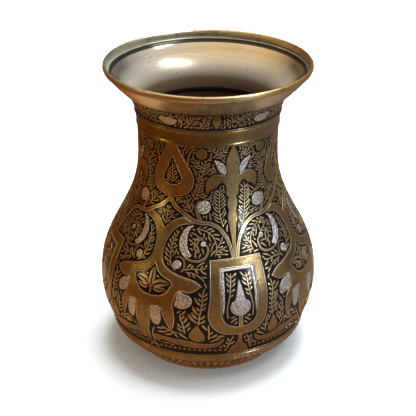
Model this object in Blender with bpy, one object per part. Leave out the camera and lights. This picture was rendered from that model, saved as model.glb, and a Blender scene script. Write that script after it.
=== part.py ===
"""Engraved brass kalash pot: turned sheet-brass shells joined at the neck, belly and foot,
a lip ring, a neck collar, a base plate, solder rings inside the joints, and white-metal
inlays let into pockets in the engraved brass.

Units are metres, +Z is up, and the origin is the centre of the foot's resting face.
Sizes below are in millimetres and are multiplied by MM where geometry is made.
"""
import math

import bmesh
import bpy
import numpy as np
from mathutils import Vector
from mathutils.geometry import tessellate_polygon

MM = 0.001

# Driving dimensions, mm
HEIGHT = 150.0
SEGMENTS = 48            # facets round every turned piece
WALL = 1.6               # sheet thickness
GAP = 0.3                # clearance between touching pieces
HALF_WALL = (WALL - GAP) / 2.0

# Outer outline of the whole pot: (height, radius) from the foot up to the flange under the lip
OUTLINE = [
    (0.0, 37.3), (3.0, 39.4), (12.5, 48.6), (17.0, 50.1), (27.0, 53.5), (38.0, 55.0),
    (54.0, 52.9), (75.0, 42.9), (96.0, 35.2), (111.0, 34.2), (123.0, 34.6), (135.0, 38.0),
    (142.5, 45.0), (146.5, 48.4),
]
FLANGE_Z = 146.5
LIP_R = 49.6
LIP_BORE_R = 47.9

FOOT_SEAM_Z = 17.0       # foot ring to lower bowl
BELLY_SEAM_Z = 32.0      # lower bowl to body shell
NECK_SEAM_Z = 124.15     # body shell to mouth funnel, under the collar
LAP = 2.8                # height of a lap joint's tongue

COLLAR_LOW_Z = 120.3
COLLAR_HIGH_Z = 127.9
COLLAR_THICKNESS = 1.0
COLLAR_BEAD = 0.35       # how far the collar's two edge beads stand proud
NECK_WALL = 1.3          # wall of the two neck ends under the collar
NECK_RECESS = COLLAR_THICKNESS + GAP

FOOT_LAND_R = 35.0       # inner radius of the flat that the pot rests on
LEDGE_Z = 2.3            # top of the ledge that carries the base plate
PLATE_THICKNESS = 1.4
PLATE_DISH = 0.5         # how far the plate's middle rises

# Inlays: 0.5 mm sheet in 0.8 mm pockets
INLAY_THICKNESS = 0.5
POCKET_DEPTH = INLAY_THICKNESS + GAP
CUTTER_STANDOFF = 1.0

SECTORS = 4              # shields, and rosettes between them, round the belly
NECK_LEAVES = 5

BRASS = (0.42, 0.27, 0.11)
WORN_BRASS = (0.52, 0.36, 0.17)
TINNED_BRASS = (0.50, 0.47, 0.40)
WHITE_METAL = (0.62, 0.60, 0.56)
SOLDER = (0.38, 0.37, 0.35)


# ---------------------------------------------------------------- outline

def natural_spline(points, count):
    """Smooth curve through points, as count samples: a natural cubic over chord length."""
    pts = np.array(points, float)
    step = np.hypot(*np.diff(pts, axis=0).T)
    knots = np.concatenate([[0.0], np.cumsum(step)])
    n = len(pts)
    matrix = np.eye(n)
    right = np.zeros((n, 2))
    for i in range(1, n - 1):
        matrix[i, i - 1] = step[i - 1]
        matrix[i, i] = 2.0 * (step[i - 1] + step[i])
        matrix[i, i + 1] = step[i]
        right[i] = 6.0 * ((pts[i + 1] - pts[i]) / step[i] - (pts[i] - pts[i - 1]) / step[i - 1])
    bend = np.linalg.solve(matrix, right)
    curve = []
    for s in np.linspace(0.0, knots[-1], count):
        i = min(max(int(np.searchsorted(knots, s)) - 1, 0), n - 2)
        a = (knots[i + 1] - s) / step[i]
        b = 1.0 - a
        cubic = ((a ** 3 - a) * bend[i] + (b ** 3 - b) * bend[i + 1]) * step[i] ** 2 / 6.0
        curve.append(a * pts[i] + b * pts[i + 1] + cubic)
    return np.array(curve)


CURVE = natural_spline(OUTLINE, 600)
CURVE_Z = CURVE[:, 0]
CURVE_R = CURVE[:, 1]
SLOPE = np.gradient(CURVE_R, CURVE_Z)
# Climb is the height measured so that it turns at the same rate as the angle does:
# a shape keeps its proportions anywhere on the pot when drawn as (angle, climb).
MEAN_R = (CURVE_R[1:] + CURVE_R[:-1]) / 2.0
CLIMB = np.concatenate([[0.0], np.cumsum(np.hypot(np.diff(CURVE_Z), np.diff(CURVE_R)) / MEAN_R)])


def radius(z):
    return float(np.interp(z, CURVE_Z, CURVE_R))


def skin(z, depth):
    """(r, z) of the point at this depth under the outer surface at height z."""
    slope = float(np.interp(z, CURVE_Z, SLOPE))
    length = math.hypot(1.0, slope)
    return (radius(z) - depth / length, z + depth * slope / length)


def wall(heights, depth=0.0):
    return [skin(z, depth) for z in heights]


def rise(low, high, steps):
    """Evenly spaced heights from low to high."""
    return [low + (high - low) * i / steps for i in range(steps + 1)]


# ---------------------------------------------------------------- objects

def metal(name, colour, roughness):
    material = bpy.data.materials.new(name)
    material.use_nodes = True
    shader = material.node_tree.nodes["Principled BSDF"]
    shader.inputs["Base Color"].default_value = (*colour, 1.0)
    shader.inputs["Metallic"].default_value = 1.0
    shader.inputs["Roughness"].default_value = roughness
    material.diffuse_color = (*colour, 1.0)
    return material


def add_object(name, bm, parent, colour, roughness, smooth=True):
    bmesh.ops.recalc_face_normals(bm, faces=bm.faces)
    mesh = bpy.data.meshes.new(name)
    bm.to_mesh(mesh)
    bm.free()
    if smooth:
        mesh.shade_smooth()
        mesh.set_sharp_from_angle(angle=math.radians(35.0))
    mesh.materials.append(metal(name, colour, roughness))
    obj = bpy.data.objects.new(name, mesh)
    bpy.context.scene.collection.objects.link(obj)
    obj.parent = parent
    return obj


def turned(name, section, parent, colour, roughness):
    """A closed ring: the closed section, a list of (r, z), spun round the pot's axis."""
    bm = bmesh.new()
    verts = [bm.verts.new((r * MM, 0.0, z * MM)) for r, z in section]
    edges = [bm.edges.new((verts[i - 1], verts[i])) for i in range(len(verts))]
    bmesh.ops.spin(bm, geom=verts + edges, cent=(0, 0, 0), axis=(0, 0, 1), dvec=(0, 0, 0),
                   angle=math.tau, steps=SEGMENTS, use_merge=True)
    bmesh.ops.remove_doubles(bm, verts=bm.verts, dist=1e-6)
    return add_object(name, bm, parent, colour, roughness)


# ---------------------------------------------------------------- turned shells

def make_lip_ring(parent):
    low = FLANGE_Z + GAP
    section = [
        (LIP_BORE_R, low), (48.5, low), (49.25, low + 0.7), (LIP_R, low + 1.7),
        (49.55, HEIGHT - 0.5), (49.2, HEIGHT), (48.4, HEIGHT), (48.0, HEIGHT - 0.4),
    ]
    return turned("lip_ring", section, parent, WORN_BRASS, 0.3)


def make_mouth_funnel(parent):
    low = NECK_SEAM_Z + GAP / 2.0
    shoulder = COLLAR_HIGH_Z + GAP
    section = [skin(low, NECK_RECESS), skin(shoulder, NECK_RECESS)]
    section += wall([shoulder, 131.5, 135.0, 138.0, 140.3, 142.5, 144.6, FLANGE_Z])
    section += [(46.6, FLANGE_Z)]
    section += wall([144.3, 142.5, 140.0, 137.0, 133.5], WALL)
    section += [skin(shoulder, NECK_RECESS + NECK_WALL), skin(low, NECK_RECESS + NECK_WALL)]
    return turned("mouth_funnel", section, parent, TINNED_BRASS, 0.35)


def make_neck_collar(parent):
    low, high = COLLAR_LOW_Z, COLLAR_HIGH_Z
    section = [
        skin(low, -0.1), skin(low + 0.25, -COLLAR_BEAD), skin(low + 1.0, -COLLAR_BEAD),
        skin(low + 1.4, 0.0), skin(high - 1.4, 0.0), skin(high - 1.0, -COLLAR_BEAD),
        skin(high - 0.25, -COLLAR_BEAD), skin(high, -0.1),
        skin(high, COLLAR_THICKNESS), skin(low, COLLAR_THICKNESS),
    ]
    return turned("neck_collar", section, parent, WORN_BRASS, 0.35)


def make_body_shell(parent):
    seam = BELLY_SEAM_Z + GAP / 2.0
    tongue = BELLY_SEAM_Z - LAP
    shoulder = COLLAR_LOW_Z - GAP
    top = NECK_SEAM_Z - GAP / 2.0
    section = wall([seam] + rise(38.0, 110.0, 12) + [shoulder])
    section += [skin(shoulder, NECK_RECESS), skin(top, NECK_RECESS)]
    section += [skin(top, NECK_RECESS + NECK_WALL), skin(shoulder - 1.0, NECK_RECESS + NECK_WALL)]
    section += wall(reversed(rise(38.0, 114.0, 8)), WALL)
    section += [skin(tongue, WALL), skin(tongue, HALF_WALL + GAP), skin(seam, HALF_WALL + GAP)]
    return turned("body_shell", section, parent, BRASS, 0.4)


def make_lower_bowl(parent):
    seam = BELLY_SEAM_Z - GAP / 2.0
    ledge = BELLY_SEAM_Z - LAP - GAP
    foot = FOOT_SEAM_Z + GAP / 2.0
    tongue = FOOT_SEAM_Z - LAP
    section = wall(rise(foot, seam, 4))
    section += [skin(seam, HALF_WALL), skin(ledge, HALF_WALL)]
    section += wall(reversed(rise(tongue, ledge, 3)), WALL)
    section += [skin(tongue, HALF_WALL + GAP), skin(foot, HALF_WALL + GAP)]
    return turned("lower_bowl", section, parent, BRASS, 0.4)


def make_foot_ring(parent):
    seam = FOOT_SEAM_Z - GAP / 2.0
    ledge = FOOT_SEAM_Z - LAP - GAP
    ledge_wall_r = skin(LEDGE_Z, WALL)[0]
    section = wall([0.0, 1.2, 3.0, 6.0, 9.2, 12.5, seam])
    section += [skin(seam, HALF_WALL), skin(ledge, HALF_WALL)]
    section += wall([ledge, 10.5, 7.0, 4.0], WALL)
    section += [(ledge_wall_r, LEDGE_Z), (FOOT_LAND_R, LEDGE_Z), (FOOT_LAND_R, 0.0)]
    return turned("foot_ring", section, parent, BRASS, 0.4)


def make_base_plate(parent):
    """A slightly dished disc: two domed caps joined by a rim, spun from its half section."""
    low = LEDGE_Z + GAP
    rim = skin(LEDGE_Z, WALL)[0] - GAP
    half = [(0.0, low + PLATE_DISH), (rim * 0.6, low + PLATE_DISH * 0.7), (rim, low),
            (rim, low + PLATE_THICKNESS), (rim * 0.6, low + PLATE_DISH * 0.7 + PLATE_THICKNESS),
            (0.0, low + PLATE_DISH + PLATE_THICKNESS)]
    bm = bmesh.new()
    verts = [bm.verts.new((r * MM, 0.0, z * MM)) for r, z in half]
    edges = [bm.edges.new(pair) for pair in zip(verts[:-1], verts[1:])]
    bmesh.ops.spin(bm, geom=verts + edges, cent=(0, 0, 0), axis=(0, 0, 1), dvec=(0, 0, 0),
                   angle=math.tau, steps=SEGMENTS, use_merge=True)
    bmesh.ops.remove_doubles(bm, verts=bm.verts, dist=1e-6)
    return add_object("base_plate", bm, parent, BRASS, 0.45)


def make_solder_rings(parent):
    """Small fillets inside the pot that close the lap joints and the base plate's edge."""
    backing = {
        "neck_solder_ring": (NECK_SEAM_Z, NECK_RECESS + NECK_WALL + GAP),
        "belly_solder_ring": (BELLY_SEAM_Z - LAP - GAP / 2.0, WALL + GAP),
        "foot_solder_ring": (FOOT_SEAM_Z - LAP - GAP / 2.0, WALL + GAP),
    }
    rings = []
    for name, (z, depth) in backing.items():
        section = [skin(z - 1.5, depth), skin(z + 1.5, depth), skin(z + 0.8, depth + 0.9),
                   skin(z - 0.8, depth + 0.9)]
        rings.append(turned(name, section, parent, SOLDER, 0.5))
    low = LEDGE_Z + PLATE_THICKNESS + 2.0 * GAP
    corner_r = skin(low - 1.0, WALL)[0] - GAP
    section = [(corner_r - 1.8, low), (corner_r, low), (corner_r + 1.0, low + 1.5)]
    rings.append(turned("base_solder_ring", section, parent, SOLDER, 0.5))
    return rings


# ---------------------------------------------------------------- inlays

# Outlines in (angle from the shield's axis, climb), one side of a mirrored pair, or whole
SHIELD_DROP = [
    (0.0, 1.305), (-0.022, 1.22), (-0.045, 1.125), (-0.074, 1.10), (-0.087, 1.06),
    (-0.078, 1.02), (-0.05, 0.99), (-0.02, 0.975), (0.02, 0.975), (0.05, 0.99),
    (0.078, 1.02), (0.087, 1.06), (0.074, 1.10), (0.045, 1.125), (0.022, 1.22),
]
SCROLL_CRESCENT = [
    (0.448, 1.90), (0.478, 1.862), (0.497, 1.81), (0.500, 1.74), (0.492, 1.67),
    (0.470, 1.612), (0.436, 1.572), (0.478, 1.545), (0.526, 1.57), (0.565, 1.63),
    (0.580, 1.72), (0.560, 1.81), (0.512, 1.88),
]
ROSETTE_PETAL = [
    (0.528, 1.215), (0.47, 1.195), (0.425, 1.175), (0.397, 1.13), (0.402, 1.085),
    (0.44, 1.055), (0.485, 1.06), (0.53, 1.095),
]
LOWER_PETAL = [
    (0.618, 1.03), (0.606, 0.97), (0.606, 0.91), (0.622, 0.868), (0.652, 0.852),
    (0.682, 0.872), (0.700, 0.92), (0.706, 0.97), (0.702, 1.035), (0.66, 1.05),
]
FLEUR_PETAL = [
    (0.238, 2.785), (0.158, 2.752), (0.100, 2.69), (0.082, 2.62), (0.098, 2.568),
    (0.140, 2.58), (0.183, 2.635), (0.212, 2.71),
]
BUD_CENTRE = (0.348, 2.13)
BUD_R = 0.082
BUD_SIDES = 12
NECK_LEAF_ANGLE = -0.52  # the first neck leaf's angle from the front
NECK_LEAF = [
    (-0.135, 3.355), (-0.115, 3.305), (-0.06, 3.27), (0.0, 3.262), (0.06, 3.275),
    (0.11, 3.31), (0.13, 3.365), (0.075, 3.385), (0.045, 3.41), (-0.01, 3.385),
    (-0.07, 3.405), (-0.10, 3.375),
]
FRONT = -math.pi / 2.0   # the direction that angles are counted from: straight ahead, -Y

# The engraver set the pattern out by eye, so its axes wander a little.
SHIELD_AXIS = 0.285      # angle of the front shield's axis
FLEUR_LEAN = 0.065       # the flower above it stands this much further round
NECK_CROWDING = 0.10     # upper motifs are spread at the front and crowded behind
BELLY_SPREAD = 0.035     # rosettes stand this much further from the shields at the sides
WANDER = 0.005           # small wobble of every line, in angle and in climb
LIFT = 0.02              # the belly's motifs climb this much towards the right of the front
ROSETTE_LEAN = 0.075     # the rosettes' lower petals lean this far to the left


def ease(low, high, value):
    share = min(max((value - low) / (high - low), 0.0), 1.0)
    return share * share * (3.0 - 2.0 * share)


def hand_laid(angle, climb):
    """(angle, climb) on the pot where the engraver put a point of the regular pattern."""
    upper = ease(1.6, 2.4, climb)
    axis = SHIELD_AXIS + FLEUR_LEAN * ease(1.5, 2.6, climb)
    drift = upper * NECK_CROWDING * math.sin(angle)
    drift += (1.0 - upper) * BELLY_SPREAD * math.sin(2.0 * angle)
    drift += WANDER * math.sin(5.0 * angle + 2.0 * climb)
    lean = ease(0.58, 0.80, climb) * (1.0 - ease(0.98, 1.18, climb))
    drift -= ROSETTE_LEAN * lean * (1.0 - math.cos(SECTORS * angle)) / 2.0
    open_field = ease(0.5, 0.9, climb) * (1.0 - ease(2.5, 3.0, climb))
    lift = LIFT * math.sin(angle + 0.2) + WANDER * math.sin(7.0 * angle - 3.0 * climb)
    return axis + angle + drift, climb + open_field * lift


def on_pot(angle, climb, depth):
    """Point on the pot, in metres, at an angle from the front and a depth under the surface."""
    z = float(np.interp(climb, CLIMB, CURVE_Z))
    r, z = skin(z, depth)
    return Vector((r * math.cos(FRONT + angle), r * math.sin(FRONT + angle), z)) * MM


def grown(outline, distance):
    """The outline moved outwards by a distance in mm, at each corner along the bisector."""
    points = [Vector(p) for p in outline]
    area = sum(a.x * b.y - b.x * a.y for a, b in zip(points, points[1:] + points[:1]))
    turn = 1.0 if area > 0.0 else -1.0
    moved = []
    for i, point in enumerate(points):
        before = (point - points[i - 1]).normalized()
        after = (points[(i + 1) % len(points)] - point).normalized()
        out_before = Vector((before.y, -before.x)) * turn
        out_after = Vector((after.y, -after.x)) * turn
        bisector = (out_before + out_after).normalized()
        stretch = 1.0 / max(bisector.dot(out_before), 0.5)
        z = float(np.interp(point.y, CLIMB, CURVE_Z))
        moved.append(point + bisector * stretch * distance / radius(z))
    return moved


def add_plate(bm, outline, top_depth, bottom_depth):
    """Closed curved plate between two depths; the outline is (angle from front, climb)."""
    flat = [Vector((a, c, 0.0)) for a, c in outline]
    triangles = tessellate_polygon([flat])
    top = [bm.verts.new(on_pot(a, c, top_depth)) for a, c in outline]
    bottom = [bm.verts.new(on_pot(a, c, bottom_depth)) for a, c in outline]
    for tri in triangles:
        bm.faces.new([top[i] for i in tri])
        bm.faces.new([bottom[i] for i in reversed(tri)])
    for i in range(len(outline)):
        bm.faces.new([top[i - 1], top[i], bottom[i], bottom[i - 1]])


def placed(outline, sector, side):
    """The regular outline set into a sector of the belly, mirrored when side is -1."""
    start = sector * math.tau / SECTORS
    return [hand_laid(start + side * a, c) for a, c in outline]


def bud_outline():
    a, c = BUD_CENTRE
    turns = [math.tau * i / BUD_SIDES for i in range(BUD_SIDES)]
    return [(a + BUD_R * math.cos(turn), c + BUD_R * math.sin(turn)) for turn in turns]


def inlay_layout():
    """Name and placed outline of every inlay in the body shell, then of those at the neck."""
    paired = {
        "scroll_crescent": SCROLL_CRESCENT,
        "rosette_petal": ROSETTE_PETAL,
        "lower_petal": LOWER_PETAL,
        "fleur_petal": FLEUR_PETAL,
        "bud": bud_outline(),
    }
    body = []
    for sector in range(SECTORS):
        number = sector + 1
        body.append((f"shield_drop_{number}", placed(SHIELD_DROP, sector, 1)))
        for kind, outline in paired.items():
            body.append((f"{kind}_{number}_left", placed(outline, sector, -1)))
            body.append((f"{kind}_{number}_right", placed(outline, sector, 1)))
    neck = []
    for i in range(NECK_LEAVES):
        start = NECK_LEAF_ANGLE + i * math.tau / NECK_LEAVES
        neck.append((f"neck_leaf_{i + 1}", [(start + a, c) for a, c in NECK_LEAF]))
    return body, neck


def inlay_into(shell, layout, parent):
    """Cut one pocket for each inlay in the shell, and lay the inlays in them."""
    cuts = bmesh.new()
    for name, outline in layout:
        add_plate(cuts, grown(outline, GAP), -CUTTER_STANDOFF, POCKET_DEPTH)
        plate = bmesh.new()
        add_plate(plate, outline, 0.0, INLAY_THICKNESS)
        add_object(name, plate, parent, WHITE_METAL, 0.4, smooth=False)
    cutter = add_object(shell.name + "_pockets", cuts, parent, WHITE_METAL, 0.4, smooth=False)
    cutter.hide_render = True
    cutter.display_type = "WIRE"
    pockets = shell.modifiers.new("Inlay pockets", "BOOLEAN")
    pockets.operation = "DIFFERENCE"
    pockets.solver = "EXACT"
    pockets.object = cutter


def main():
    for obj in list(bpy.data.objects):
        bpy.data.objects.remove(obj, do_unlink=True)
    pot = bpy.data.objects.new("kalash_pot", None)
    bpy.context.scene.collection.objects.link(pot)

    make_lip_ring(pot)
    funnel = make_mouth_funnel(pot)
    make_neck_collar(pot)
    body = make_body_shell(pot)
    make_lower_bowl(pot)
    make_foot_ring(pot)
    make_base_plate(pot)
    make_solder_rings(pot)

    body_inlays, neck_inlays = inlay_layout()
    inlay_into(body, body_inlays, pot)
    inlay_into(funnel, neck_inlays, pot)


main()
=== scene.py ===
"""Looks of the engraved brass kalash pot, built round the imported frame.

Shapes are drawn as (angle, climb). Angle is counted from a motif's own axis, and climb is the
height measured so that it turns at the same rate as the angle does, so a shape keeps its
proportions anywhere on the pot. Depths are millimetres under the pot's outer surface, and every
length in millimetres is turned into metres by UNIT.
"""

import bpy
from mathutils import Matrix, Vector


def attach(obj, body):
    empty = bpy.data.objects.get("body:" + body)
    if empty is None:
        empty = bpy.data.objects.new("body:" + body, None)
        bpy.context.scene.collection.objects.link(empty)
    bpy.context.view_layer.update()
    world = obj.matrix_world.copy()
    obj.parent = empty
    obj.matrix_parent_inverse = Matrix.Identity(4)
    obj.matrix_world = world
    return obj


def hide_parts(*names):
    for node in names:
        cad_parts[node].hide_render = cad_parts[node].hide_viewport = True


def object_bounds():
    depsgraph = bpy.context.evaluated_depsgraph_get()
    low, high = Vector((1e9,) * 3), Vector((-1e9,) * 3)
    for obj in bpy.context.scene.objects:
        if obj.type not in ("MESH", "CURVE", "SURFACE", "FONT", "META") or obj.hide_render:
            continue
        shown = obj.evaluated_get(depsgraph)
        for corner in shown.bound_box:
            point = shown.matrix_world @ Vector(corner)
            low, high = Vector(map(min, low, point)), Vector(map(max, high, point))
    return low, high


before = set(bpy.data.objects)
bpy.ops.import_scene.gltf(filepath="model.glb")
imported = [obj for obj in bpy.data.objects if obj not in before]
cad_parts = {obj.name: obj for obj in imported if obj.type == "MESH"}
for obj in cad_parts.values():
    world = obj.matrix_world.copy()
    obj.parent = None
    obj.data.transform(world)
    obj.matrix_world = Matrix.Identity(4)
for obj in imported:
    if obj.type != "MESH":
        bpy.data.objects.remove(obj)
cad_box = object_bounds()

import copy
import math
import random

import bpy
import numpy as np
from mathutils import Vector
from mathutils.geometry import delaunay_2d_cdt

# ---------------------------------------------------------------- sizes, mm unless said

POT_HEIGHT = 150.0
UNIT = (cad_box[1].z - cad_box[0].z) / POT_HEIGHT   # metres to one of these millimetres
OUTLINE = [
    (0.0, 37.3), (3.0, 39.4), (12.5, 48.6), (17.0, 50.1), (27.0, 53.5), (38.0, 55.0),
    (54.0, 52.9), (75.0, 42.9), (96.0, 35.2), (111.0, 34.2), (123.0, 34.6), (135.0, 38.0),
    (142.5, 45.0), (146.5, 48.4),
]
FLANGE_Z = 146.5
LIP_R = 49.6
LIP_BORE_R = 47.9
FOOT_LAND_R = 35.0             # inner radius of the flat that the pot rests on
FOOT_SEAM_Z = 17.0
NECK_SEAM_Z = 124.15
COLLAR_LOW_Z = 120.3
COLLAR_HIGH_Z = 127.9
FOOT_BAND_Z = (3.4, 12.0)      # engraved band under the plain band
NECK_BAND_Z = (128.6, 137.6)   # engraved band above the collar
WALL = 1.6
GROUND = 0.5                   # depth of the lacquered ground that the pattern stands on
FOOTING = GROUND + 0.08        # raised shapes reach a little under the ground
PLATE_TOP = 0.05
ROUND_SEGMENTS = 192

FRONT = -math.pi / 2.0         # angles are counted from straight ahead, -Y
SECTORS = 4
HALF = math.pi / SECTORS       # angle from a shield's axis to a rosette's
NECK_LEAVES = 5
NECK_LEAF_ANGLE = -0.52
NECK_HALF = math.pi / NECK_LEAVES
FIELD_LOW, FIELD_HIGH = 0.525, 3.0
NECK_LOW, NECK_HIGH = 3.245, 3.49

# The engraver's unevenness, the same as in the CAD model
SHIELD_AXIS = 0.285
FLEUR_LEAN = 0.065
NECK_CROWDING = 0.10
BELLY_SPREAD = 0.035
WANDER = 0.005
LIFT = 0.02
ROSETTE_LEAN = 0.075
# Climbs between which one kind of unevenness gives way to another
NECK_FADE = (1.6, 2.4)
FLEUR_FADE = (1.5, 2.6)
ROSETTE_RISE, ROSETTE_FALL = (0.58, 0.80), (0.98, 1.18)
LIFT_RISE, LIFT_FALL = (0.5, 0.9), (2.5, 3.0)

SHARP = True                   # marks a corner in an outline


# ---------------------------------------------------------------- the pot's surface

def natural_spline(points, count):
    """Smooth curve through points, as count samples: a natural cubic over chord length."""
    pts = np.array(points, float)
    step = np.hypot(*np.diff(pts, axis=0).T)
    knots = np.concatenate([[0.0], np.cumsum(step)])
    n = len(pts)
    matrix = np.eye(n)
    right = np.zeros((n, 2))
    for i in range(1, n - 1):
        matrix[i, i - 1] = step[i - 1]
        matrix[i, i] = 2.0 * (step[i - 1] + step[i])
        matrix[i, i + 1] = step[i]
        right[i] = 6.0 * ((pts[i + 1] - pts[i]) / step[i] - (pts[i] - pts[i - 1]) / step[i - 1])
    bend = np.linalg.solve(matrix, right)
    curve = []
    for s in np.linspace(0.0, knots[-1], count):
        i = min(max(int(np.searchsorted(knots, s)) - 1, 0), n - 2)
        a = (knots[i + 1] - s) / step[i]
        b = 1.0 - a
        cubic = ((a ** 3 - a) * bend[i] + (b ** 3 - b) * bend[i + 1]) * step[i] ** 2 / 6.0
        curve.append(a * pts[i] + b * pts[i + 1] + cubic)
    return np.array(curve)


CURVE = natural_spline(OUTLINE, 600)
CURVE_Z = CURVE[:, 0]
CURVE_R = CURVE[:, 1]
SLOPE = np.gradient(CURVE_R, CURVE_Z)
MEAN_R = (CURVE_R[1:] + CURVE_R[:-1]) / 2.0
CLIMB = np.concatenate([[0.0], np.cumsum(np.hypot(np.diff(CURVE_Z), np.diff(CURVE_R)) / MEAN_R)])


def climb_at(z):
    return float(np.interp(z, CURVE_Z, CLIMB))


def height_at(climb):
    return float(np.interp(climb, CLIMB, CURVE_Z))


def skin(z, depth):
    """(r, z) at this depth under the outer surface at height z, for numbers or arrays."""
    slope = np.interp(z, CURVE_Z, SLOPE)
    length = np.hypot(1.0, slope)
    return np.interp(z, CURVE_Z, CURVE_R) - depth / length, z + depth * slope / length


def wall(heights, depth=0.0):
    return [skin(z, depth) for z in heights]


def rise(low, high, steps):
    return [low + (high - low) * i / steps for i in range(steps + 1)]


def dent(angle, z):
    """Shallow unevenness of beaten metal, always inwards, up to about 0.2 mm."""
    wave = np.sin(3.0 * angle + z / 21.0) + np.sin(5.0 * angle - z / 13.0 + 1.7)
    wave = wave + np.sin(2.0 * angle + z / 33.0 + 4.0)
    return 0.033 * (3.0 + wave)


def round_points(r, angle, z):
    """Points in metres from radii, angles from the front and heights."""
    return np.stack([r * np.cos(FRONT + angle), r * np.sin(FRONT + angle), z], -1) * UNIT


def pot_points(angle, climb, depth):
    z = np.interp(climb, CLIMB, CURVE_Z)
    r, z = skin(z, depth + dent(angle, z))
    return round_points(r, angle, z)


def ease(low, high, value):
    share = np.clip((value - low) / (high - low), 0.0, 1.0)
    return share * share * (3.0 - 2.0 * share)


def hand_laid(angle, climb):
    """(angle, climb) on the pot where the engraver put points of the regular pattern."""
    upper = ease(*NECK_FADE, climb)
    axis = SHIELD_AXIS + FLEUR_LEAN * ease(*FLEUR_FADE, climb)
    drift = upper * NECK_CROWDING * np.sin(angle)
    drift = drift + (1.0 - upper) * BELLY_SPREAD * np.sin(2.0 * angle)
    drift = drift + WANDER * np.sin(5.0 * angle + 2.0 * climb)
    lean = ease(*ROSETTE_RISE, climb) * (1.0 - ease(*ROSETTE_FALL, climb))
    drift = drift - ROSETTE_LEAN * lean * (1.0 - np.cos(SECTORS * angle)) / 2.0
    open_field = ease(*LIFT_RISE, climb) * (1.0 - ease(*LIFT_FALL, climb))
    lift = LIFT * np.sin(angle + 0.2) + WANDER * np.sin(7.0 * angle - 3.0 * climb)
    return axis + angle + drift, climb + open_field * lift


class Place:
    """Where one copy of a motif goes on the pot; side is -1 where it is mirrored."""

    def __init__(self, start=0.0, side=1, by_hand=False):
        self.start = start
        self.side = side
        self.by_hand = by_hand

    def lay(self, spots):
        """(n, 2) angles and climbs on the pot for points of the motif."""
        angle = self.start + self.side * spots[:, 0]
        climb = spots[:, 1]
        return np.stack(hand_laid(angle, climb) if self.by_hand else (angle, climb), 1)


def belly_place(sector, side=1):
    return Place(sector * math.tau / SECTORS, side, True)


def neck_place(index):
    return Place(NECK_LEAF_ANGLE + index * math.tau / NECK_LEAVES)


# ---------------------------------------------------------------- curves in the plane

TINY = 1e-12                   # keeps a division by a length safe
LOOP_STEPS = 4                 # samples between two given points of an outline or a ribbon


def unit(vectors):
    return vectors / (np.linalg.norm(vectors, axis=-1, keepdims=True) + TINY)


def smooth_path(points, steps=3):
    """Open Catmull-Rom curve through points, as an array."""
    p = [np.array(q[:2], float) for q in points]
    p = [2.0 * p[0] - p[1]] + p + [2.0 * p[-1] - p[-2]]
    out = []
    for i in range(1, len(p) - 2):
        for k in range(steps):
            t = k / steps
            out.append(0.5 * (2.0 * p[i] + (p[i + 1] - p[i - 1]) * t
                              + (2.0 * p[i - 1] - 5.0 * p[i] + 4.0 * p[i + 1] - p[i + 2]) * t ** 2
                              + (3.0 * p[i] - p[i - 1] - 3.0 * p[i + 1] + p[i + 2]) * t ** 3))
    out.append(p[-2])
    return np.array(out)


def smooth_loop(points):
    """Closed curve through points; a point marked SHARP stays a corner."""
    n = len(points)
    corners = [i for i, q in enumerate(points) if len(q) > 2]
    if not corners:
        ring = [points[-1]] + list(points) + [points[0], points[1]]
        return smooth_path(ring, LOOP_STEPS)[LOOP_STEPS:-LOOP_STEPS - 1]
    out = []
    for k, i in enumerate(corners):
        j = corners[(k + 1) % len(corners)]
        run = [points[(i + m) % n] for m in range(((j - i) % n or n) + 1)]
        out.extend(smooth_path(run, LOOP_STEPS)[:-1] if len(run) > 2 else [np.array(run[0][:2])])
    return np.array(out)


def mirrored(points, axis=0.0):
    """Full outline from its half on the positive side, given from one end to the other."""
    other = [(2.0 * axis - q[0], *q[1:]) for q in reversed(points) if abs(q[0] - axis) > 1e-6]
    return list(points) + other


def on_rosette(points):
    """Full outline from half of it, given by the distance from the rosette's axis."""
    return mirrored([(HALF - q[0], *q[1:]) for q in points], HALF)


def loop_area(loop):
    x, y = loop[:, 0], loop[:, 1]
    return 0.5 * float(np.sum(x * np.roll(y, -1) - np.roll(x, -1) * y))


def sideways(path):
    """Unit vectors to the left of an open path."""
    along = unit(np.gradient(path, axis=0))
    return np.stack([-along[:, 1], along[:, 0]], 1)


SHARPEST_CORNER = 0.6          # a corner's move is at most 1 / this times the inset
INSET_TRIALS = (0.08, 0.15, 0.25, 0.4, 0.55, 0.75, 1.0)
INSET_ROOM = 0.72              # share of an inset that has to be free round the moved point
SHRINK_ROUNDS = 20


def inward_moves(loop, sign, deepest):
    """For each point, its move per unit of inset, kept short where the shape is narrow."""
    turn = sign if loop_area(loop) > 0.0 else -sign
    before = unit(loop - np.roll(loop, 1, axis=0))
    normal = np.stack([before[:, 1], -before[:, 0]], 1) * turn
    bisector = unit(normal + np.roll(normal, -1, axis=0))
    move = bisector / np.maximum(np.sum(bisector * normal, axis=1), SHARPEST_CORNER)[:, None]
    share = np.full(len(loop), INSET_TRIALS[0] / 2.0)
    for trial in INSET_TRIALS:
        moved = loop + move * deepest * trial
        room = distance_to(moved, loop) >= INSET_ROOM * trial * deepest
        share = np.where(room, trial, share)
    share = np.minimum(share, np.minimum(np.roll(share, 1), np.roll(share, -1)))
    edge = np.roll(loop, -1, axis=0) - loop
    for _ in range(SHRINK_ROUNDS):
        moved = loop + move * (share * deepest)[:, None]
        kept = np.sum((np.roll(moved, -1, axis=0) - moved) * edge, axis=1)
        turned_over = kept < 0.2 * np.sum(edge * edge, axis=1)
        share = np.where(turned_over | np.roll(turned_over, 1), share * 0.6, share)
    return move * share[:, None]


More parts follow.
